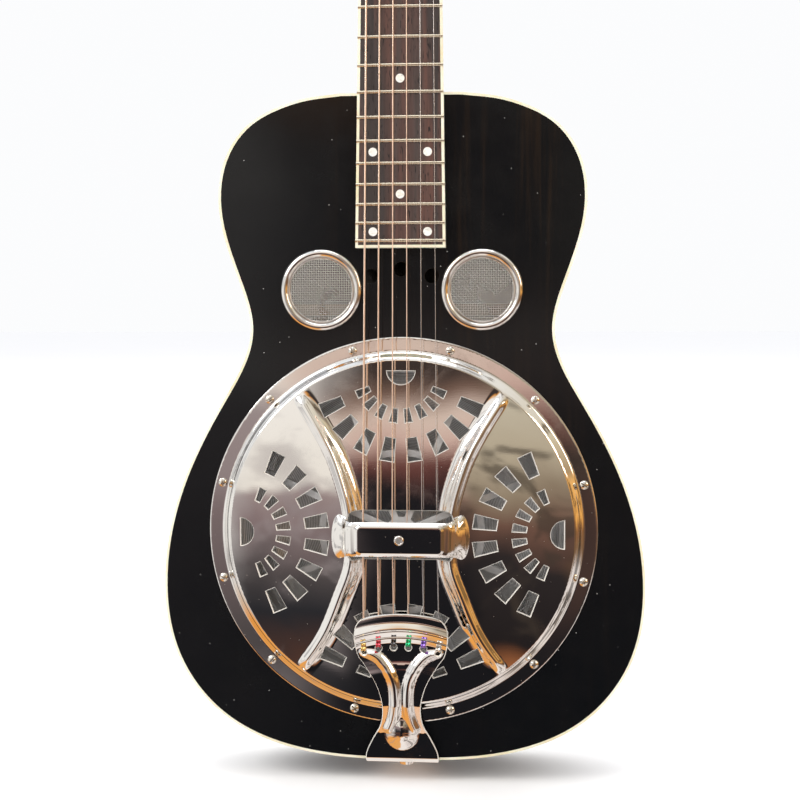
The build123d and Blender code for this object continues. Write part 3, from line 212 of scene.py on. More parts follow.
def material(name):
    """Decorator: makes a material from a function that fills in its shader."""
    def wrap(build):
        made = bpy.data.materials.new(name)
        made.use_nodes = True
        tree = Nodes(made.node_tree)
        shader = tree.make("ShaderNodeBsdfPrincipled")
        output = tree.make("ShaderNodeOutputMaterial")
        tree.link(shader.outputs[0], output.inputs["Surface"])
        build(tree, shader)
        MATERIALS[name] = made
        return build
    return wrap


def bump(tree, shader, height, strength, distance):
    """Feed a height into the shader's normal."""
    node = tree.make("ShaderNodeBump")
    node.inputs["Strength"].default_value = strength
    node.inputs["Distance"].default_value = distance
    tree.link(height, node.inputs["Height"])
    tree.link(node.outputs[0], shader.inputs["Normal"])


def set_sockets(shader, **values):
    for key, value in values.items():
        shader.inputs[key.replace("_", " ")].default_value = value


def toned(tree, shader, pattern, first, second, smoothest, roughest, share=None):
    """One pattern sets both the colour, between two tones, and the roughness."""
    share = pattern if share is None else share
    tree.link(tree.mix(share, first, second), shader.inputs["Base Color"])
    tree.link(tree.span(pattern, 0.2, 0.8, smoothest, roughest), shader.inputs["Roughness"])


# ---------------------------------------------------------------- materials
@material("black_lacquer")
def _(tree, shader):
    """Deep black gloss over wood whose grain still shows as faint brown streaks, with a painted warm reflection
    that makes the streaks stronger towards the top.
    """
    along = tree.coords((1.0, 1.0, 0.035))
    streaks = tree.noise(along, 95.0, 6.0, 0.62, 0.3)
    broad = tree.noise(tree.coords((1.0, 1.0, 0.12)), 9.0, 2.0)
    grain_and_painted_reflection = tree.math("MULTIPLY", tree.span(streaks, 0.50, 0.78), tree.span(broad, 0.35, 0.75))
    high = tree.make("ShaderNodeSeparateXYZ")
    tree.link(tree.coords(), high.inputs[0])
    # painted reflection: the brown streaks are faint below the cone's centre and grow towards the top, standing in
    # for the warm room that the gloss reflects
    grain_and_painted_reflection = tree.math("MULTIPLY", grain_and_painted_reflection, tree.span(high.outputs[2], CONE, CONE + 0.22, 0.12, 1.0))
    colour = tree.mix(grain_and_painted_reflection, (0.0038, 0.0042, 0.0050), (0.0230, 0.0130, 0.0070))
    colour, speck = dust(tree, colour, 120.0, 0.00028)
    tree.link(colour, shader.inputs["Base Color"])
    smears = tree.noise(tree.coords(), 38.0, 4.0, 0.6)
    rough = tree.span(smears, 0.3, 0.8, 0.16, 0.30)
    tree.link(tree.math("ADD", rough, tree.math("MULTIPLY", speck, 0.4)), shader.inputs["Roughness"])
    set_sockets(shader, Specular_IOR_Level=0.2, Coat_Weight=0.32, Coat_Roughness=0.05)
    bump(tree, shader, tree.noise(tree.coords(), 120.0, 2.0), 0.035, 0.0006)


@material("side_lacquer")
def _(tree, shader):
    """Black gloss over the sides, back and neck."""
    along = tree.coords((1.0, 1.0, 0.03))
    streaks = tree.noise(along, 70.0, 5.0, 0.6, 0.4)
    colour = tree.mix(tree.span(streaks, 0.48, 0.8), (0.0022, 0.0020, 0.0020), (0.0110, 0.0060, 0.0040))
    tree.link(colour, shader.inputs["Base Color"])
    smears = tree.noise(tree.coords(), 26.0, 4.0, 0.6)
    tree.link(tree.span(smears, 0.3, 0.8, 0.16, 0.32), shader.inputs["Roughness"])
    set_sockets(shader, Specular_IOR_Level=0.4, Coat_Weight=0.8, Coat_Roughness=0.06)
    bump(tree, shader, tree.noise(tree.coords(), 90.0, 2.0), 0.04, 0.0006)


@material("cream_binding")
def _(tree, shader):
    """Celluloid that has yellowed unevenly."""
    age = tree.noise(tree.coords(), 22.0, 4.0, 0.6)
    colour = tree.mix(tree.span(age, 0.3, 0.75), (0.83, 0.79, 0.64), (0.70, 0.62, 0.40))
    tree.link(colour, shader.inputs["Base Color"])
    dull = tree.noise(tree.coords(), 160.0, 2.0)
    tree.link(tree.span(dull, 0.2, 0.8, 0.22, 0.42), shader.inputs["Roughness"])
    set_sockets(shader, Subsurface_Weight=0.15, Subsurface_Scale=0.0015, Coat_Weight=0.4)


def plated(tree, shader, clean, worn, tint=(0.86, 0.845, 0.825)):
    """Nickel-bright plating: smudges dull it, and fine wipes run through it."""
    smudge = tree.noise(tree.coords(), 17.0, 7.0, 0.68, 0.5)
    wipes = tree.noise(tree.coords((1.0, 1.0, 9.0)), 130.0, 4.0, 0.7)
    rough = tree.span(smudge, 0.46, 0.80, clean, worn)
    rough = tree.math("ADD", rough, tree.span(wipes, 0.60, 0.95, 0.0, 0.05))
    haze = tree.mix(tree.span(smudge, 0.5, 0.85), tint, tuple(part * 0.90 for part in tint))
    haze, speck = dust(tree, haze, 170.0, 0.00026)
    rough = tree.math("ADD", rough, tree.math("MULTIPLY", speck, 0.5))
    tree.link(haze, shader.inputs["Base Color"])
    tree.link(rough, shader.inputs["Roughness"])
    set_sockets(shader, Metallic=1.0)
    bump(tree, shader, wipes, 0.012, 0.0002)


@material("chrome")
def _(tree, shader):
    plated(tree, shader, 0.035, 0.16)


@material("small_chrome")
def _(tree, shader):
    plated(tree, shader, 0.05, 0.14)


@material("raw_edge")
def _(tree, shader):
    """Bright worn metal where a sheet was punched through."""
    grit = tree.noise(tree.coords(), 900.0, 3.0, 0.7)
    toned(tree, shader, grit, (0.78, 0.73, 0.64), (0.98, 0.95, 0.90), 0.28, 0.5)
    set_sockets(shader, Metallic=0.35)


@material("screw_steel")
def _(tree, shader):
    plated(tree, shader, 0.10, 0.28, (0.80, 0.77, 0.71))


@material("cone_aluminium")
def _(tree, shader):
    """Spun aluminium: fine rings about the cone's axis."""
    place = tree.make("ShaderNodeTexCoord")
    shift = tree.make("ShaderNodeMapping")
    shift.inputs["Location"].default_value = (0, 0, -CONE)
    tree.link(place.outputs["Object"], shift.inputs["Vector"])
    rings = tree.make("ShaderNodeTexWave", wave_type="RINGS", rings_direction="Y")
    rings.inputs["Scale"].default_value = 260.0
    rings.inputs["Distortion"].default_value = 0.6
    tree.link(shift.outputs[0], rings.inputs["Vector"])
    patina = tree.noise(tree.coords(), 30.0, 5.0)
    tree.link(tree.mix(patina, (0.78, 0.78, 0.78), (0.93, 0.93, 0.93)), shader.inputs["Base Color"])
    tree.link(tree.span(rings.outputs["Fac"], 0.0, 1.0, 0.24, 0.40), shader.inputs["Roughness"])
    set_sockets(shader, Metallic=0.65)
    bump(tree, shader, rings.outputs["Fac"], 0.15, 0.0003)


@material("spider_cast")
def _(tree, shader):
    """Cast aluminium with a sandy skin."""
    sand = tree.noise(tree.coords(), 420.0, 5.0, 0.7)
    tree.link(tree.mix(sand, (0.66, 0.66, 0.66), (0.90, 0.90, 0.90)), shader.inputs["Base Color"])
    set_sockets(shader, Metallic=0.6, Roughness=0.42)
    bump(tree, shader, sand, 0.3, 0.0004)


def wire_wound(tree, shader, bright, dark, pitch):
    """Wire wound round a core, its turns square to the string."""
    turns = tree.make("ShaderNodeTexWave", bands_direction="Z")
    turns.inputs["Scale"].default_value = 1.0 / (pitch * MM) / 20 * pi
    tree.link(tree.coords(), turns.inputs["Vector"])
    patina = tree.noise(tree.coords((1, 1, 0.3)), 60.0, 4.0, 0.7)
    toned(tree, shader, patina, bright, dark, 0.24, 0.34, share=tree.span(patina, 0.3, 0.8))
    set_sockets(shader, Metallic=0.85)
    bump(tree, shader, turns.outputs["Fac"], 0.35, 0.0001)


@material("bronze_winding")
def _(tree, shader):
    wire_wound(tree, shader, (0.96, 0.76, 0.62), (0.84, 0.60, 0.46), 0.3)


@material("rosewood")
def _(tree, shader):
    """Grey-brown and reddish bands along the board, with open pores as short dark dashes."""
    bands = tree.noise(tree.coords((1.0, 1.0, 0.018)), 62.0, 2.0, 0.5)
    fine = tree.noise(tree.coords((1.0, 1.0, 0.05)), 420.0, 4.0, 0.6)
    base = tree.ramp(bands, [
        (0.30, (0.052, 0.038, 0.034)), (0.44, (0.045, 0.034, 0.032)), (0.50, (0.115, 0.050, 0.036)),
        (0.58, (0.068, 0.048, 0.042)), (0.70, (0.100, 0.046, 0.036)),
    ])
    base = tree.mix(tree.span(fine, 0.35, 0.7, 0.0, 0.55), base, (0.030, 0.020, 0.017))
    pores = tree.span(tree.noise(tree.coords((1.0, 1.0, 0.14)), 1100.0, 2.0, 0.4), 0.63, 0.70)
    base = tree.mix(pores, base, (0.012, 0.008, 0.007))
    tree.link(base, shader.inputs["Base Color"])
    tree.link(tree.span(fine, 0.2, 0.8, 0.42, 0.60), shader.inputs["Roughness"])
    set_sockets(shader, Specular_IOR_Level=0.4)
    bump(tree, shader, tree.math("SUBTRACT", fine, pores), 0.25, 0.0002)


@material("pearl")
def _(tree, shader):
    """Mother of pearl: soft cloudy bands that shift between cream, pink and grey."""
    clouds = tree.noise(tree.coords((1.0, 1.0, 2.2)), 210.0, 3.0, 0.55, 1.4)
    tree.link(tree.ramp(clouds, [
        (0.30, (0.62, 0.60, 0.55)), (0.45, (0.84, 0.80, 0.70)), (0.55, (0.88, 0.83, 0.78)),
        (0.68, (0.74, 0.76, 0.74)),
    ]), shader.inputs["Base Color"])
    set_sockets(shader, Roughness=0.22, Coat_Weight=0.5, Sheen_Weight=0.15)


@material("bone")
def _(tree, shader):
    pores = tree.noise(tree.coords((5.0, 1.0, 1.0)), 240.0, 4.0, 0.65)
    toned(tree, shader, pores, (0.72, 0.66, 0.50), (0.88, 0.84, 0.72), 0.30, 0.46)
    set_sockets(shader, Subsurface_Weight=0.1, Subsurface_Scale=0.002)


@material("ebony")
def _(tree, shader):
    grain = tree.noise(tree.coords((0.05, 1.0, 1.0)), 300.0, 4.0)
    toned(tree, shader, grain, (0.012, 0.009, 0.008), (0.040, 0.028, 0.022), 0.32, 0.48)
    bump(tree, shader, grain, 0.1, 0.0002)


def bare_wood(tree, shader, light, dark):
    grain = tree.noise(tree.coords((1.0, 1.0, 0.06)), 160.0, 5.0, 0.6, 0.5)
    toned(tree, shader, grain, light, dark, 0.6, 0.8, share=tree.span(grain, 0.3, 0.7))
    bump(tree, shader, grain, 0.3, 0.0003)


@material("inner_wood")
def _(tree, shader):
    bare_wood(tree, shader, (0.60, 0.43, 0.25), (0.44, 0.29, 0.15))


@material("well_wood")
def _(tree, shader):
    bare_wood(tree, shader, (0.46, 0.31, 0.18), (0.33, 0.20, 0.11))


@material("button_pearl")
def _(tree, shader):
    clouds = tree.noise(tree.coords((1.0, 2.0, 1.0)), 170.0, 3.0, 0.5, 1.8)
    tree.link(tree.ramp(clouds, [
        (0.30, (0.58, 0.55, 0.46)), (0.50, (0.82, 0.79, 0.70)), (0.70, (0.70, 0.68, 0.60)),
    ]), shader.inputs["Base Color"])
    set_sockets(shader, Roughness=0.2, Coat_Weight=0.6)


# Stretch, scale and detail of the pattern, the two tones, the least and most roughness, and metallic.
TONED = {
    "screen_wire": ((1, 1, 1), 45.0, 3.0, (0.62, 0.62, 0.61), (0.88, 0.87, 0.84), 0.22, 0.36, 0.9),
    "plain_steel": ((1, 1, 0.2), 80.0, 3.0, (0.72, 0.72, 0.76), (0.90, 0.90, 0.93), 0.12, 0.22, 1.0),
    "fret_nickel": ((6.0, 1.0, 1.0), 120.0, 4.0, (0.66, 0.58, 0.44), (0.86, 0.80, 0.68), 0.18, 0.34, 1.0),
    "black_plastic": ((1, 1, 1), 140.0, 4.0, (0.010, 0.010, 0.010), (0.022, 0.021, 0.020), 0.12, 0.26, 0.0),
    "rod_steel": ((1, 1, 1), 190.0, 5.0, (0.30, 0.29, 0.28), (0.55, 0.54, 0.52), 0.25, 0.45, 1.0),
    "gear_brass": ((1, 1, 1), 210.0, 4.0, (0.62, 0.43, 0.18), (0.84, 0.64, 0.32), 0.18, 0.34, 1.0),
}


def toned_material(name, stretch, scale, detail, first, second, smoothest, roughest, metallic):
    """A plain material that one noise pattern tints and dulls."""
    @material(name)
    def _(tree, shader):
        stain = tree.noise(tree.coords(stretch), scale, detail)
        toned(tree, shader, stain, first, second, smoothest, roughest)
        set_sockets(shader, Metallic=metallic)


for toned_name, toned_look in TONED.items():
    toned_material(toned_name, *toned_look)


BALL_COLOURS = {
    "brass": (0.86, 0.62, 0.22), "red": (0.72, 0.10, 0.14), "black": (0.10, 0.10, 0.11),
    "green": (0.04, 0.62, 0.28), "purple": (0.34, 0.20, 0.78), "silver": (0.82, 0.80, 0.76),
}


def ball_material(name, tint):
    """Anodised colour of one string's ball end."""
    @material(f"ball_{name}")
    def _(tree, shader):
        wear = tree.noise(tree.coords(), 700.0, 4.0)
        worn = tuple(0.6 * part + 0.2 for part in tint)
        toned(tree, shader, wear, tint, worn, 0.16, 0.3, share=tree.span(wear, 0.5, 0.9))
        set_sockets(shader, Metallic=1.0)


for ball_name, ball_tint in BALL_COLOURS.items():
    ball_material(ball_name, ball_tint)


@material("pale_floor")
def _(tree, shader):
    tone = tree.noise(tree.coords(), 3.0, 3.0)
    tree.link(tree.mix(tone, (0.945, 0.95, 0.96), (0.965, 0.97, 0.975)), shader.inputs["Base Color"])
    set_sockets(shader, Roughness=0.8, Specular_IOR_Level=0.0)


# ---------------------------------------------------------------- mesh helpers
def object_from(name, verts, faces, mats, indices=None, normals=None):
    """A mesh object, its faces smooth, with one or more materials."""
    mesh = bpy.data.meshes.new(name)
    mesh.from_pydata([tuple(v) for v in verts], [], [tuple(f) for f in faces])
    for mat in mats:
        mesh.materials.append(MATERIALS[mat])
    if indices is not None:
        mesh.polygons.foreach_set("material_index", np.asarray(indices, np.int32))
    mesh.shade_smooth()
    if normals is not None:
        mesh.normals_split_custom_set_from_vertices([tuple(n) for n in normals])
    piece = bpy.data.objects.new(name, mesh)
    scene.collection.objects.link(piece)
    return piece


def rounded_curve(points, steps=10):
    """A smooth (Catmull-Rom) curve through given points."""
    given = [np.array(p, float) for p in points]
    given = [2 * given[0] - given[1]] + given + [2 * given[-1] - given[-2]]
    curve = []
    for a, b, c, d in zip(given, given[1:], given[2:], given[3:]):
        for step in range(steps):
            t = step / steps
            curve.append(0.5 * (2 * b + (c - a) * t + (2 * a - 5 * b + 4 * c - d) * t * t
                                + (3 * b - a - 3 * c + d) * t ** 3))
    curve.append(given[-2])
    return np.array(curve)


def mirrored(right):
    """A closed outline from its right half, whose ends lie on the middle line."""
    left = right[::-1].copy()
    left[:, 0] *= -1
    return np.vstack([right, left[1:-1]])


def resampled(loop, spacing):
    """Points along a closed loop, no further apart than spacing, keeping its corners."""
    out = []
    for here, there in zip(loop, np.roll(loop, -1, axis=0)):
        count = max(1, int(np.ceil(np.linalg.norm(there - here) / spacing)))
        for step in range(count):
            out.append(here + (there - here) * step / count)
    return np.array(out)


def circle(x, up, radius, count, start=0.0):
    turns = start + np.linspace(0, 2 * pi, count, endpoint=False)
    return np.stack([x + radius * np.cos(turns), up + radius * np.sin(turns)], 1)


def inside(points, loop):
    """Which points lie inside a closed loop."""
    x, y = points[:, 0], points[:, 1]
    hit = np.zeros(len(points), bool)
    for (x0, y0), (x1, y1) in zip(loop, np.roll(loop, -1, axis=0)):
        if y0 == y1:
            continue
        cross = (y0 > y) != (y1 > y)
        hit ^= cross & (x < (x1 - x0) * (y - y0) / (y1 - y0) + x0)
    return hit


def distance_to(points, curve):
    """Shortest distance from each point to a polyline."""
    best = np.full(len(points), 1e9)
    for start, end in zip(curve[:-1], curve[1:]):
        run = end - start
        length = run @ run
        if length == 0:
            continue
        share = np.clip((points - start) @ run / length, 0, 1)
        gap = points - start - share[:, None] * run
        best = np.minimum(best, (gap * gap).sum(1))
    return np.sqrt(best)


def smooth(value, low, high):
    share = np.clip((value - low) / (high - low), 0, 1)
    return share * share * (3 - 2 * share)


FINE_SHARE = 0.5


def hexagonal(low, high, spacing):
    """A triangular lattice of points over a box."""
    rows = np.arange(low[1], high[1], spacing * sqrt(3) / 2)
    points = []
    for number, y in enumerate(rows):
        xs = np.arange(low[0] + (number % 2) * spacing / 2, high[0], spacing)
        points.append(np.stack([xs, np.full(len(xs), y)], 1))
    return np.vstack(points)


def pressed_sheet(name, outline, holes, surface, spacing, thick, mats, fine=None, bow=0.0, lean=0.0):
    """A closed sheet-metal pressing.

    outline and holes are closed loops of a flat plan, surface maps plan points to space in metres,
    and mats are the sheet's own material and that of its cut edges.  The mesh is closer where
    fine(points) is true, its rows follow arcs of curvature bow, and its cut edges flare by lean.
    """
    loops = [resampled(outline, spacing)] + [resampled(hole, spacing * 0.8) for hole in holes]
    low, high = loops[0].min(0), loops[0].max(0)
    lattice = hexagonal(low, high + (0, bow * high[0] ** 2), spacing)
    if fine is not None:
        detail = hexagonal(low, high, spacing * FINE_SHARE)
        lattice = np.vstack([lattice[~fine(lattice)], detail[fine(detail)]])
    lattice[:, 1] -= bow * lattice[:, 0] ** 2
    keep = inside(lattice, loops[0])
    for number, loop in enumerate(loops):
        near = (lattice > loop.min(0) - spacing).all(1) & (lattice < loop.max(0) + spacing).all(1) & keep
        picked = np.flatnonzero(near)
        if number:
            keep[picked[inside(lattice[picked], loop)]] = False
        closed = np.vstack([loop, loop[:1]])
        keep[picked[distance_to(lattice[picked], closed) < spacing * 0.45]] = False
    lattice = lattice[keep]
    rim = np.vstack(loops)
    edges = []
    first = 0
    for loop in loops:
        count = len(loop)
        edges += [(first + k, first + (k + 1) % count) for k in range(count)]
        first += count
    plan = np.vstack([rim, lattice])
    verts, _, faces, source, _, _ = geometry.delaunay_2d_cdt(
        [Vector(p) for p in plan], edges, [], 0, 1e-6
    )
    flat = np.array([tuple(v) for v in verts])
    tris = np.array(faces)
    middle = flat[tris].mean(1)
    good = inside(middle, loops[0])
    for loop in loops[1:]:
        near = (middle > loop.min(0)).all(1) & (middle < loop.max(0)).all(1) & good
        picked = np.flatnonzero(near)
        good[picked[inside(middle[picked], loop)]] = False
    tris = tris[good]
    step = 0.02
    top = surface(flat)
    along = surface(flat + (step, 0)) - surface(flat - (step, 0))
    up = surface(flat + (0, step)) - surface(flat - (0, step))
    normal = np.cross(along, up)
    normal /= np.linalg.norm(normal, axis=1)[:, None]
    count = len(flat)
    bottom = top - normal * thick * MM
    # Walls follow every edge that only one triangle uses.
    used = {}
    for a, b, c in tris:
        for pair in ((a, b), (b, c), (c, a)):
            used[pair] = True
    open_edges = [pair for pair in used if (pair[1], pair[0]) not in used]
    walls, wall_verts, wall_normals = [], [], []
    order = {}
    for a, b in open_edges:
        side = np.cross(top[b] - top[a], normal[a])
        side /= np.linalg.norm(side)
        for point in (a, b):
            total = order.setdefault(point, np.zeros(3))
            order[point] = total + side
    index = {}
    for point, side in order.items():
        side /= np.linalg.norm(side)
        bottom[point] += side * lean * MM
        facing = side * thick + normal[point] * lean
        index[point] = 2 * count + len(wall_verts)
        wall_verts += [top[point], bottom[point]]
        wall_normals += [facing, facing]
    for a, b in open_edges:
        walls.append((index[a], index[a] + 1, index[b] + 1, index[b]))
    every = np.vstack([top, bottom, np.array(wall_verts)])
    normals = np.vstack([normal, -normal, np.array(wall_normals)])
    faces = [tuple(t) for t in tris] + [(t[0] + count, t[2] + count, t[1] + count) for t in tris] + walls
    indices = [0] * (2 * len(tris)) + [1] * len(walls)
    return object_from(name, every, faces, mats, indices, normals)


def lathe(name, profile, centre, axis, mats, turns=64, indices=None):
    """Turn a (radius, height) profile about an axis through a point; the profile is closed."""
    frame_of = Vector(axis).to_track_quat("Z", "Y").to_matrix()
    count = len(profile)
    verts = []
    for turn in range(turns):
        angle = 2 * pi * turn / turns
        for radius, height in profile:
            spot = Vector((radius * cos(angle), radius * sin(angle), height)) * MM
            verts.append(Vector(centre) + frame_of @ spot)
    faces = []
    marks = []
    for turn in range(turns):
        here, there = turn * count, (turn + 1) % turns * count
        for step in range(count):
            follow = (step + 1) % count
            faces.append((here + step, there + step, there + follow, here + follow))
            marks.append(0 if indices is None else indices[step])
    piece = object_from(name, verts, faces, mats, marks)
    clean = bmesh.new()
    clean.from_mesh(piece.data)
    bmesh.ops.remove_doubles(clean, verts=clean.verts, dist=1e-6)
    bmesh.ops.dissolve_degenerate(clean, edges=clean.edges, dist=1e-7)
    bmesh.ops.recalc_face_normals(clean, faces=clean.faces)
    clean.to_mesh(piece.data)
    clean.free()
    return piece


# ---------------------------------------------------------------- cover plate
DOME_RADIUS = 129.5
DOME_POWER = 2.26             # how square the domes' shoulders are
RISER_OUT = 135.8
RIM_HEIGHT = 6.5
LOBE_HEIGHT = 17.0
CHANNEL_HEIGHT = 9.0
SHEET = 1.0
BEAD_HEIGHT = 2.4
BEAD_HALF = 5.2
BEAD_FADE = 119.0             # the beads die away from here to the domes' edge
FLANK = 9.5                   # width of the slope from a bead down into the channel
PLATE_SPACING = 1.7
# Right edge of the sunken channel: (half width, height over the cone centre), as in the frame.
CHANNEL_EDGE = [
    (74.5, -103), (63, -87), (54, -71), (45, -48.5), (36.5, -24), (36.0, 0), (37.5, 18),
    (41.3, 34.4), (49, 56.5), (58, 74), (64, 84), (76, 103),
]
CHANNEL_PAST = 230.0          # the channel's plan is carried on past the riser, where it ends
FAN_CENTRE = 118.0
FAN_ANGLES = (9.3, 28.0, 46.7, 65.3)
INNER_SLOT = (25.0, 36.3, 4.7, 7.0)       # start radius, end radius, start width, end width
OUTER_SLOT = (47.0, 65.3, 8.6, 11.7)
HALF_MOON = 11.0
WINDOW = (39.5, 18.5, 5.5)                # half width, half height, corner radius
WINDOW_UP = -1.0
REST_DROP = -2.0
EDGE_LEAN = 0.65                          # how far a cut edge flares, so that it catches light

channel_right = rounded_curve(CHANNEL_EDGE, 8)
channel_left = channel_right * (-1, 1)
channel_ends = np.array([(0, CHANNEL_PAST), (0, -CHANNEL_PAST)])
channel_loop = np.vstack([channel_right, channel_ends[:1], channel_left[::-1], channel_ends[1:]])


def dome(radius, crown):
    share = np.clip(radius / DOME_RADIUS, 0, 1)
    return RIM_HEIGHT + (crown - RIM_HEIGHT) * (1 - share ** DOME_POWER)


def cover_height(plan):
    """Height of the cover plate's outer face: lobes, sunken channel, its beads, and the rim."""
    radius = np.hypot(plan[:, 0], plan[:, 1])
    edge = np.minimum(distance_to(plan, channel_right), distance_to(plan, channel_left))
    edge[inside(plan, channel_loop)] *= -1
    height = dome(radius, CHANNEL_HEIGHT)
    height += (dome(radius, LOBE_HEIGHT) - height) * smooth(edge, -FLANK, 0.8)
    ridge = np.clip(1 - ((edge - 1.0) / BEAD_HALF) ** 2, 0, 1) ** 2
    height += BEAD_HEIGHT * ridge * (1 - smooth(radius, BEAD_FADE, DOME_RADIUS))
    height -= (RIM_HEIGHT - SHEET) * smooth(radius, DOME_RADIUS - 1.2, RISER_OUT)
    return height - 0.5 * smooth(radius, COVER_RADIUS - 1.0, COVER_RADIUS + 0.6)


def near_bends(plan):
    """Where the cover plate curves tightly: along the beads and the riser."""
    edge = np.minimum(distance_to(plan, channel_right), distance_to(plan, channel_left))
    return (edge < FLANK + 0.5) | (np.hypot(plan[:, 0], plan[:, 1]) > DOME_RADIUS - 3)


def cover_surface(plan):
    return on_front(plan[:, 0], plan[:, 1], cover_height(plan))


def turned_about(points, degrees):
    angle = radians(degrees)
    turn = np.array([[cos(angle), sin(angle)], [-sin(angle), cos(angle)]])
    return np.asarray(points, float) @ turn


def rounded_box(half_x, half_y, corner, centre=(0, 0), steps=6):
    """A closed rounded rectangle."""
    loop = []
    for quarter, (side_x, side_y) in enumerate(((1, 1), (-1, 1), (-1, -1), (1, -1))):
        hub = (centre[0] + side_x * (half_x - corner), centre[1] + side_y * (half_y - corner))
        for step in range(steps + 1):
            angle = (quarter + step / steps) * pi / 2
            loop.append((hub[0] + corner * cos(angle), hub[1] + corner * sin(angle)))
    return np.array(loop)


def fan_holes(way):
    """The slots and the half-moon of one fan, whose hub lies at an angle round the plate."""
    hub = np.array((FAN_CENTRE * cos(radians(way)), FAN_CENTRE * sin(radians(way))))
    holes = []
    for angle in FAN_ANGLES:
        for side in (-1, 1):
            for start, end, start_width, end_width in (INNER_SLOT, OUTER_SLOT):
                slot = [(-start_width / 2, start), (start_width / 2, start), (end_width / 2, end),
                        (-end_width / 2, end)]
                holes.append(hub + turned_about(slot, way + 90 + side * angle))
    bow = [(HALF_MOON * cos(radians(turn)), HALF_MOON * sin(radians(turn)) - 3) for turn in range(0, 181, 12)]
    holes.append(hub + turned_about(bow, way + 90))
    return holes


def add_coverplate():
    holes = [hole for way in (0, 90, 180, 270) for hole in fan_holes(way)]
    holes.append(rounded_box(*WINDOW, centre=(0, WINDOW_UP)))
    plate = pressed_sheet(
        "coverplate_pressing", circle(0, 0, COVER_RADIUS, 360), holes, cover_surface, PLATE_SPACING, SHEET,
        ["chrome", "raw_edge"], fine=near_bends, lean=EDGE_LEAN,
    )
    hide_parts("coverplate")
    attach(plate, "root")


SCREW_CIRCLE = 139.8
SCREW_HEAD = 3.3
SCREW_TURNS = (35, 100, 12, 60, 150, 80, 20, 130, 48, 165, 95, 5)


def add_cover_screws():
    """Twelve round-headed slotted screws, each left at its own angle."""
    for number, turn in enumerate(SCREW_TURNS):
        way = radians(15 + 30 * number)
        centre = np.array((SCREW_CIRCLE * cos(way), SCREW_CIRCLE * sin(way)))

        def surface(plan, centre=centre, turn=turn):
            local = turned_about(plan, turn)
            radius = np.hypot(plan[:, 0], plan[:, 1]) / SCREW_HEAD
            height = SHEET + 0.5 + 1.9 * np.sqrt(np.clip(1.02 - radius ** 2, 0, None))
            cut = (1 - smooth(np.abs(local[:, 1]), 0.32, 0.52)) * np.clip(height - SHEET - 1.1, 0, None)
            return on_front(centre[0] + plan[:, 0], centre[1] + plan[:, 1], height - cut)

        screw = pressed_sheet(f"cover_screw_{number + 1}", circle(0, 0, SCREW_HEAD, 30), [], surface, 0.34,
                              0.5, ["screw_steel", "screw_steel"])
        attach(screw, "root")
        if number == 0:
            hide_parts("coverplate_screws")


# ---------------------------------------------------------------- palm rest
REST_FLAT = 33.0
REST_FOOT = 51.0
REST_HALF = 12.6
FOOT_ABOVE = 4.6              # how far each foot flares up and down the guitar past the flat top
FOOT_BELOW = 3.2
FOOT_ROUND = 6.5
PANEL = (30.9, 9.9)           # half size of the level panel inside the bevelled border
PANEL_CORNER = 3.2
REST_SHEET = 1.4


def rest_half(x, flare):
    """Half the palm rest's length up the guitar at a sideways place."""
    reach = np.abs(x)
    half = REST_HALF + flare * smooth(reach, 37.0, 45.5)
    closing = np.clip((reach - REST_FOOT + FOOT_ROUND) / FOOT_ROUND, 0, 1)
    return half * np.sqrt(np.clip(1 - closing ** 2.4, 0, 1))


def rest_surface(plan):
    """A bridge with a bevelled border, whose ends swell into feet that lie on the lobes."""
    reach = np.abs(plan[:, 0])
    v = plan[:, 1] - REST_DROP
    base = cover_height(plan) + 0.15
    top = REST_TOP - 0.2
    middle = base + (top - base) * (1 - smooth(reach, REST_FLAT - 1.5, REST_FOOT + 1.0))
    low_edge = base + (top - 2.0 - base) * (1 - smooth(reach, REST_FLAT + 1.0, 44.0))
    half = np.maximum(rest_half(plan[:, 0], np.where(v > 0, FOOT_ABOVE, FOOT_BELOW)), 0.5)
    roll = np.clip(np.abs(v) / half, 0, 1)
    square = 12.0 - 9.4 * smooth(reach, REST_FLAT, 43.0)
    height = low_edge + (middle - low_edge) * (1 - roll ** square)
    over = np.stack([reach - PANEL[0] + PANEL_CORNER, np.abs(v) - PANEL[1] + PANEL_CORNER])
    away = np.hypot(*np.maximum(over, 0)) + np.minimum(over.max(0), 0) - PANEL_CORNER
    height -= 0.9 * smooth(away, -0.5, 1.9) * (1 - smooth(reach, REST_FLAT, 41.0))
    return on_front(plan[:, 0], plan[:, 1], height)


def add_palm_rest():
    xs = REST_FOOT * np.sin(np.linspace(-pi / 2, pi / 2, 110))
    above = np.stack([xs, REST_DROP + rest_half(xs, FOOT_ABOVE)], 1)
    below = np.stack([xs[::-1], REST_DROP - rest_half(xs[::-1], FOOT_BELOW)], 1)[1:-1]
    rest = pressed_sheet("palm_rest_cover", np.vstack([above, below]), [circle(0, REST_DROP, 2.2, 24)],
                         rest_surface, 0.75, REST_SHEET, ["chrome", "chrome"])
    rivet = lathe("palm_rest_rivet", [
        (2.1, -2.0), (2.1, 0.9), (2.4, 1.35), (2.9, 1.4), (3.4, 1.0), (3.6, 0.3), (3.6, -0.2), (3.0, -0.4),
        (2.9, -2.0),
    ], at(0, REST_DROP, REST_TOP - 0.2), (0, -1, 0), ["small_chrome"], 40)
    for piece in (rest, rivet):
        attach(piece, "root")
    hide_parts("palm_rest")


# ---------------------------------------------------------------- tailpiece
TAIL_HEAD = [(0, -59.5), (14, -60.2), (27, -63), (33.5, -70), (34.3, -80), (32, -91.5), (27.2, -98.5)]
TAIL_WAIST = [(18.5, -113.5), (14, -130), (15.2, -145), (21.5, -157), (26.4, -168)]
TAIL_ARCH = 0.0048
BEND_START = -171.0
BEND_RADIUS = 5.05
TAIL_TOP = [(-59.5, 13.9), (-98, 13.4), (-130, 10.4), (-152, 6.0), (-171, 4.2)]     # (up, height)
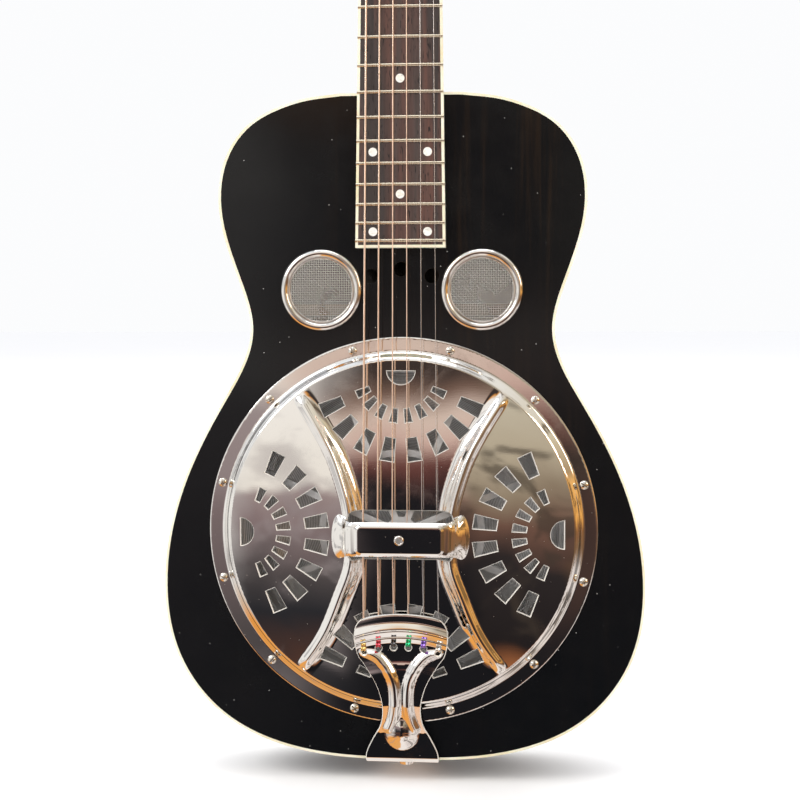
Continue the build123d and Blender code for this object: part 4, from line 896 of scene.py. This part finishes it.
# Height above the plate at a distance back from the head's bowed front edge.
HEAD_PROFILE = [
    (-1, -0.9), (0, -0.1), (0.8, 0.2), (3, 0.35), (6.0, 0.45), (8.5, 1.1), (11.0, 1.75), (11.8, 1.75),
    (12.4, 1.35), (13.0, 1.5), (15.0, 0.7), (17.0, -0.35), (17.8, -0.3), (18.4, -0.1), (20.0, -0.7),
    (22.0, -1.35), (24, -1.5), (34, -1.4), (40, -0.8), (44, -0.2), (48, 0),
]
RIB = [
    (27, -88), (18.6, -92), (12.5, -98), (8.1, -105.5), (5.4, -113.5), (4.5, -122.6), (4.7, -131.6),
    (6.3, -140.7), (9.2, -148.5),
]
CHIN_UP = -152.5              # rounded knob where the ribs meet
CHIN_RADIUS = 13.0
BALL_HOLES = [(5.5, -85.1), (16.7, -85.9), (27.8, -88.9)]
BALL_HOLE_RADIUS = 3.0
BALL_PLACE = (3.1, 14.7)      # how far up from its hole, and how high over the front
TAIL_SHEET = 1.3

head_profile = rounded_curve(HEAD_PROFILE, 6)
rib_right = rounded_curve(RIB, 8)
rib_left = rib_right * (-1, 1)


def stamped(distance, half, height):
    return height * np.clip(1 - (distance / half) ** 2, 0, 1) ** 1.5


def tail_surface(plan):
    """The stamped plate, then its bend and the leg that runs down the tail to the end pin."""
    x, up = plan[:, 0], plan[:, 1]
    places, heights = zip(*TAIL_TOP[::-1])
    height = np.interp(up, places, heights)
    from_edge = TAIL_HEAD[0][1] - TAIL_ARCH * x ** 2 - up
    height += np.interp(from_edge, head_profile[:, 0], head_profile[:, 1])
    ribs = np.minimum(distance_to(plan, rib_right), distance_to(plan, rib_left))
    from_chin = np.hypot(x, up - CHIN_UP)
    bulge = np.maximum(stamped(ribs, 4.9, 2.7), stamped(from_chin, CHIN_RADIUS, 3.4))
    height += bulge * smooth(-up, 86, 90)
    past = np.clip(BEND_START - up, 0, None)
    turn = np.clip(past / BEND_RADIUS, 0, pi / 2)
    below = BEND_START - BEND_RADIUS * np.sin(turn)
    height = height - BEND_RADIUS * (1 - np.cos(turn)) - np.clip(past - BEND_RADIUS * pi / 2, 0, None)
    level = np.where(past > 0, below, up)
    return on_front(x, level, height)


def add_tailpiece():
    pin_up = BEND_START - BEND_RADIUS * pi / 2 - (-FRONT / MM + TAIL_TOP[-1][1] - BEND_RADIUS)
    right = rounded_curve([(-14, -60.2)] + TAIL_HEAD + TAIL_WAIST + [(27.0, -178)], 6)[6:]
    leg = np.array([(13.5, pin_up - 0.5), (11.5, pin_up - 6), (7, pin_up - 8.6), (0, pin_up - 9.2)])
    outline = mirrored(np.vstack([right, leg]))
    holes = [circle(side * x, up, BALL_HOLE_RADIUS, 22) for x, up in BALL_HOLES for side in (-1, 1)]
    holes.append(circle(0, pin_up, 2.7, 20))
    tail = pressed_sheet("tailpiece_stamping", outline, holes, tail_surface, 0.8, TAIL_SHEET,
                         ["chrome", "raw_edge"], bow=TAIL_ARCH, lean=EDGE_LEAN)
    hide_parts("tailpiece")
    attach(tail, "root")
    spots = [(-x, up) for x, up in BALL_HOLES[::-1]] + BALL_HOLES
    for number, (name, (place, hole_up)) in enumerate(zip(BALL_COLOURS, spots)):
        ring = lathe(f"ball_end_{STRING_COUNT - number}", [
            (0.75, -1.7), (1.5, -1.8), (1.9, -1.5), (1.9, -0.9), (1.35, -0.4), (1.35, 0.4), (1.9, 0.9),
            (1.9, 1.5), (1.5, 1.8), (0.75, 1.7),
        ], at(place, hole_up + BALL_PLACE[0], BALL_PLACE[1]), (1, 0, 0), [f"ball_{name}"], 28)
        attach(ring, "root")
        if number == 0:
            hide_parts("string_ball_ends")


# ---------------------------------------------------------------- screens and sound holes
SCREEN_X = 59.5
SCREEN_UP = 180.1
SCREEN_INNER = 23.1
SCREEN_OUTER = 30.3
SLEEVE = 25.0                 # outer radius of the part that stands in the soundboard
ROLL_INNER = 24.3             # where the broad roll ends and the small bead begins
ROLL_STEPS = 15
MESH_RADIUS = 23.4
MESH_HEIGHT = 0.9
WIRE_PITCH = 1.72
WIRE_RADIUS = 0.36
SCREEN_DOME = 1.3
SOUND_HOLES = [(-22.6, 190.3), (0, 195.3), (22.6, 190.3)]
SOUND_HOLE_RADIUS = 5.8


def add_bezels():
    """Rolled chrome rings: a broad roll, and a small bead where the mesh is clamped."""
    middle = (SCREEN_OUTER + ROLL_INNER) / 2
    half = (SCREEN_OUTER - ROLL_INNER) / 2
    profile = [(SLEEVE, -6.5), (SLEEVE, -0.2), (SCREEN_OUTER, 0.0)]
    for step in range(1, ROLL_STEPS):
        turn = pi * step / ROLL_STEPS
        profile.append((middle + half * cos(turn), 0.3 + 3.1 * sin(turn)))
    profile += [
        (24.2, 0.9), (23.9, 1.5), (23.5, 1.65), (SCREEN_INNER, 1.3), (SCREEN_INNER, 0.6), (23.6, 0.2),
        (ROLL_INNER, -6.5),
    ]
    for side, name in ((-1, "bass"), (1, "treble")):
        centre = at(side * SCREEN_X, SCREEN_UP)
        ring = lathe(f"screen_bezel_{name}", profile, centre, (0, -1, 0), ["chrome"], 120)
        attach(ring, "root")
        if side < 0:
            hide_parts("screen_bezels")


def woven_wires(centre_x, centre_up, radius):
    """Both sets of wires of a woven screen as square-section strands that pass over and under."""
    verts, faces = [], []
    count = int(radius / WIRE_PITCH)
    for across in (False, True):
        for number in range(-count, count + 1):
            offset = number * WIRE_PITCH
            reach = sqrt(max(radius ** 2 - offset ** 2, 0))
            steps = max(2, int(4 * reach / WIRE_PITCH))
            first = len(verts)
            for step in range(steps + 1):
                along = -reach + 2 * reach * step / steps
                phase = pi * (along / WIRE_PITCH + number + (1 if across else 0))
                dome_rise = SCREEN_DOME * (1 - (along ** 2 + offset ** 2) / radius ** 2)
                height = MESH_HEIGHT + dome_rise + WIRE_RADIUS * cos(phase)
                for side, lift in ((-1, 0), (0, 1), (1, 0), (0, -1)):
                    x, up = along, offset + side * WIRE_RADIUS
                    if across:
                        x, up = up, x
                    verts.append(at(centre_x + x, centre_up + up, height + lift * WIRE_RADIUS))
            for step in range(steps):
                here = first + 4 * step
                for k in range(4):
                    quad = (here + k, here + (k + 1) % 4, here + 4 + (k + 1) % 4, here + 4 + k)
                    faces.append(quad[::-1] if across else quad)
            faces.append(tuple(first + k for k in range(4)))
            faces.append(tuple(first + 4 * steps + k for k in (3, 2, 1, 0)))
    return verts, faces


def add_screens():
    for side, name in ((-1, "bass"), (1, "treble")):
        verts, faces = woven_wires(side * SCREEN_X, SCREEN_UP, MESH_RADIUS)
        mesh = object_from(f"screen_mesh_{name}", verts, faces, ["screen_wire"])
        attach(mesh, "root")
        if side < 0:
            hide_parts("screen_meshes")


def add_hole_rims():
    """The rounded, lacquered edges of the three small sound holes."""
    for number, (x, up) in enumerate(SOUND_HOLES):
        outer = SOUND_HOLE_RADIUS - 0.02
        rim = lathe(f"sound_hole_wall_{number + 1}", [
            (outer, -3.9), (outer, -0.15), (outer - 0.12, -0.05), (outer - 0.3, -0.35), (outer - 0.3, -3.9),
        ], at(x, up), (0, -1, 0), ["side_lacquer"], 40)
        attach(rim, "root")


# ---------------------------------------------------------------- string turns on the posts
STRING_RADII = (0.71, 0.57, 0.445, 0.33, 0.215, 0.165)
POST_RADIUS = 3.06
POST_LEVEL = 24.0             # height of the first turn along the post from its joint
POST_TURNS = 3.5
TURN_STEPS = 16
PLAIN_LEAD = 0.6              # gap before a plain string's turns, in steps


def add_post_turns():
    """Each string's last turns round its post, which ride on the post."""
    for index, radius in enumerate(STRING_RADII):
        number = STRING_COUNT - index
        joint = next(j for j in frame["joints"] if j["name"] == f"post_turn_{number}")
        foot = Vector(joint["pos_m"])
        up_post = Vector(joint["axis"]).normalized()
        side = 1 if foot.x > 0 else -1
        along = up_post.cross(Vector((1, 0, 0))).normalized()
        if along.z < 0:
            along = -along
        lead = 0.0 if index < 4 else PLAIN_LEAD
        curve = bpy.data.curves.new(f"string_turns_{number}", "CURVE")
        curve.dimensions = "3D"
        curve.bevel_depth = radius * MM
        curve.bevel_resolution = 3
        spline = curve.splines.new("NURBS")
        points = []
        steps = int(POST_TURNS * TURN_STEPS)
        for step in range(steps + 1):
            turn = 2 * pi * (step + lead) / TURN_STEPS
            drop = max(2 * radius, 0.5) * 1.02 * turn / (2 * pi)
            reach = POST_RADIUS + radius
            spot = (foot + up_post * (POST_LEVEL - drop) * MM
                    + Vector((-side, 0, 0)) * reach * MM * cos(turn)
                    + along * reach * MM * sin(turn))
            points.append(spot)
        spline.points.add(len(points) - 1)
        for point, spot in zip(spline.points, points):
            point.co = (*spot, 1.0)
        spline.order_u = 3
        spline.use_endpoint_u = True
        piece = bpy.data.objects.new(f"string_turns_{number}", curve)
        scene.collection.objects.link(piece)
        curve.materials.append(MATERIALS["bronze_winding" if index < 4 else "plain_steel"])
        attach(piece, f"post_{number}")


# ---------------------------------------------------------------- finishes of the frame's own pieces
FINISHES = {"head_veneer": "black_lacquer", "neck_lacquer": "side_lacquer", "ball_brass": "ball_brass"}


def dress_frame():
    for entry in frame["record"]["subparts"]:
        slot = entry["material_slot"]
        piece = nodes[entry["node"]]
        for holder in piece.material_slots:
            holder.link = "OBJECT"
            holder.material = MATERIALS[FINISHES.get(slot, slot)]


# ---------------------------------------------------------------- surroundings
# What polished metal sees, by height of the direction that it looks in, from -1 (down) to 1 (up).
SEEN_FAR_LEFT = [
    (-1.0, (0.95, 0.45, 0.12)), (-0.60, (0.95, 0.40, 0.09)), (-0.52, (0.80, 0.60, 0.45)),
    (-0.40, (0.92, 0.88, 0.84)), (0.0, (0.98, 0.96, 0.92)), (1.0, (0.92, 0.97, 1.05)),
]
SEEN_LEFT = [
    (-1.0, (0.90, 0.45, 0.14)), (-0.64, (0.95, 0.40, 0.09)), (-0.56, (0.10, 0.045, 0.03)),
    (-0.36, (0.026, 0.026, 0.030)), (-0.25, (0.085, 0.072, 0.072)), (-0.14, (0.27, 0.20, 0.20)),
    (-0.085, (0.36, 0.28, 0.27)), (-0.06, (0.94, 0.88, 0.80)), (0.40, (1.05, 1.02, 0.98)),
    (1.0, (0.95, 1.0, 1.06)),
]
SEEN_AHEAD = [
    (-1.0, (1.0, 0.93, 0.88)), (-0.68, (1.0, 0.92, 0.86)), (-0.62, (0.95, 0.40, 0.08)),
    (-0.57, (0.04, 0.018, 0.012)), (-0.50, (0.010, 0.010, 0.012)), (-0.11, (0.014, 0.013, 0.015)),
    (-0.085, (0.16, 0.06, 0.05)), (-0.06, (0.66, 0.45, 0.38)), (-0.025, (0.74, 0.58, 0.49)),
    (0.005, (0.20, 0.12, 0.09)), (0.03, (0.05, 0.035, 0.03)), (0.13, (0.05, 0.04, 0.04)),
    (0.19, (0.75, 0.32, 0.07)), (0.26, (0.92, 0.84, 0.72)), (0.45, (1.05, 1.02, 0.98)),
    (1.0, (1.05, 1.05, 1.05)),
]
SEEN_RIGHT = [
    (-1.0, (0.92, 0.82, 0.78)), (-0.60, (0.95, 0.86, 0.80)), (-0.53, (0.45, 0.16, 0.06)),
    (-0.45, (0.020, 0.016, 0.016)), (-0.24, (0.030, 0.024, 0.024)), (-0.14, (0.17, 0.09, 0.065)),
    (-0.05, (0.30, 0.23, 0.16)), (0.05, (0.52, 0.44, 0.32)), (0.22, (0.62, 0.55, 0.43)),
    (0.34, (0.20, 0.14, 0.09)), (0.50, (0.75, 0.68, 0.60)), (1.0, (1.0, 1.0, 1.0)),
]
SEEN_FAR_RIGHT = [
    (-1.0, (0.80, 0.66, 0.58)), (-0.70, (0.95, 0.86, 0.80)), (-0.38, (0.90, 0.82, 0.78)),
    (-0.26, (0.26, 0.15, 0.08)), (-0.12, (0.30, 0.13, 0.05)), (-0.05, (0.92, 0.44, 0.11)),
    (0.15, (0.98, 0.52, 0.16)), (0.24, (0.48, 0.33, 0.18)), (0.45, (0.70, 0.60, 0.42)),
    (1.0, (1.0, 1.0, 1.0)),
]
# What is streaked: its bands, how flat and how fine the streaks are, their colour and their strength.
STREAKED = {
    "far_left": (SEEN_FAR_LEFT, 1.6, 2.2, (0.30, 0.28, 0.29), 0.6),
    "far_right": (SEEN_FAR_RIGHT, 2.2, 2.6, (0.10, 0.06, 0.03), 0.8),
    "left": (SEEN_LEFT, 2.0, 3.1, (0.35, 0.30, 0.30), 0.5),
    "right": (SEEN_RIGHT, 1.5, 4.4, (0.06, 0.045, 0.035), 0.7),
}


def seen(tree, rise, bands):
    """A ramp over the height of a direction."""
    return tree.ramp(rise, [((height + 1) / 2, colour) for height, colour in bands])


def streaked(tree, direction, rise, bands, flat, scale, dark, share):
    """Bands of colour crossed by soft streaks."""
    colour = seen(tree, rise, bands)
    place = tree.make("ShaderNodeMapping")
    place.inputs["Scale"].default_value = (1, 1, flat)
    tree.link(direction, place.inputs["Vector"])
    streaks = tree.noise(place.outputs[0], scale, 3.0, 0.55, 1.2)
    return tree.mix(tree.span(streaks, 0.50, 0.62, 0.0, share), colour, dark)


def add_world():
    """A pale studio; polished metal sees a room that is bright at the left and brown at the right."""
    world = bpy.data.worlds.new("studio")
    world.use_nodes = True
    scene.world = world
    tree = Nodes(world.node_tree)
    place = tree.make("ShaderNodeTexCoord")
    direction = place.outputs["Generated"]
    parts = tree.make("ShaderNodeSeparateXYZ")
    tree.link(direction, parts.inputs[0])
    x, y, z = parts.outputs
    sway = tree.math("SUBTRACT", tree.noise(direction, 4.2, 2.0, 0.5, 0.4), 0.5)
    rise = tree.math("ADD", z, tree.math("MULTIPLY", sway, 0.20))
    rise = tree.math("MULTIPLY", tree.math("ADD", rise, 1.0), 0.5)
    across = tree.math("ADD", x, tree.math("MULTIPLY", sway, 0.26))
    sides = {name: streaked(tree, direction, rise, *look) for name, look in STREAKED.items()}
    room = tree.mix(tree.span(across, -0.19, -0.11), sides["left"], seen(tree, rise, SEEN_AHEAD))
    room = tree.mix(tree.span(across, 0.0, 0.13), room, sides["right"])
    room = tree.mix(tree.span(across, -0.62, -0.47, 1.0, 0.0), room, sides["far_left"])
    room = tree.mix(tree.span(across, 0.38, 0.52), room, sides["far_right"])
    wall = tree.mix(tree.span(z, -0.35, -0.05), room, (0.95, 0.95, 0.97))
    room = tree.mix(tree.span(y, 0.50, 0.85), room, wall)
    light = tree.make("ShaderNodeLightPath")
    plain = tree.mix(light.outputs["Is Camera Ray"], (1.0, 1.0, 1.02), (0.97, 0.975, 0.985))
    shown = tree.mix(light.outputs["Is Glossy Ray"], plain, room)
    background = tree.make("ShaderNodeBackground")
    tree.link(shown, background.inputs["Color"])
    output = tree.make("ShaderNodeOutputWorld")
    tree.link(background.outputs[0], output.inputs["Surface"])


def add_lights():
    add_area("window_left", (-1.5, -1.1, 1.5), (0, 0, 0.35), (0.7, 1.2), 20, (1.0, 0.97, 0.93))
    add_area("warm_right", (1.7, -0.9, 1.0), (0, 0, 0.35), (0.6, 0.9), 6, (1.0, 0.86, 0.72))
    add_area("back_wash", (0.0, 2.4, 2.2), (0, 2.4, 0.0), (5.0, 3.0), 90, (1.0, 1.0, 1.0))
    add_area("overhead", (0.0, -0.2, 2.2), (0, 0, 0.3), (1.2, 0.8), 6, (1.0, 0.98, 0.96))


FLOOR_REACH = 14.0


def add_floor():
    level = cad_box[0].z
    mesh = bpy.data.meshes.new("floor")
    corners = [(FLOOR_REACH * x, FLOOR_REACH * y, level) for x, y in ((-1, -1), (1, -1), (1, 1), (-1, 1))]
    mesh.from_pydata(corners, [], [(0, 1, 2, 3)])
    mesh.materials.append(MATERIALS["pale_floor"])
    floor = bpy.data.objects.new("floor", mesh)
    floor.visible_glossy = False              # polished metal sees the darker room instead
    scene.collection.objects.link(floor)


# ---------------------------------------------------------------- build
scene.view_settings.view_transform = "Standard"
add_camera()
add_world()
add_lights()
add_floor()
dress_frame()
add_coverplate()
add_cover_screws()
add_palm_rest()
add_tailpiece()
add_bezels()
add_screens()
add_hole_rims()
add_post_turns()
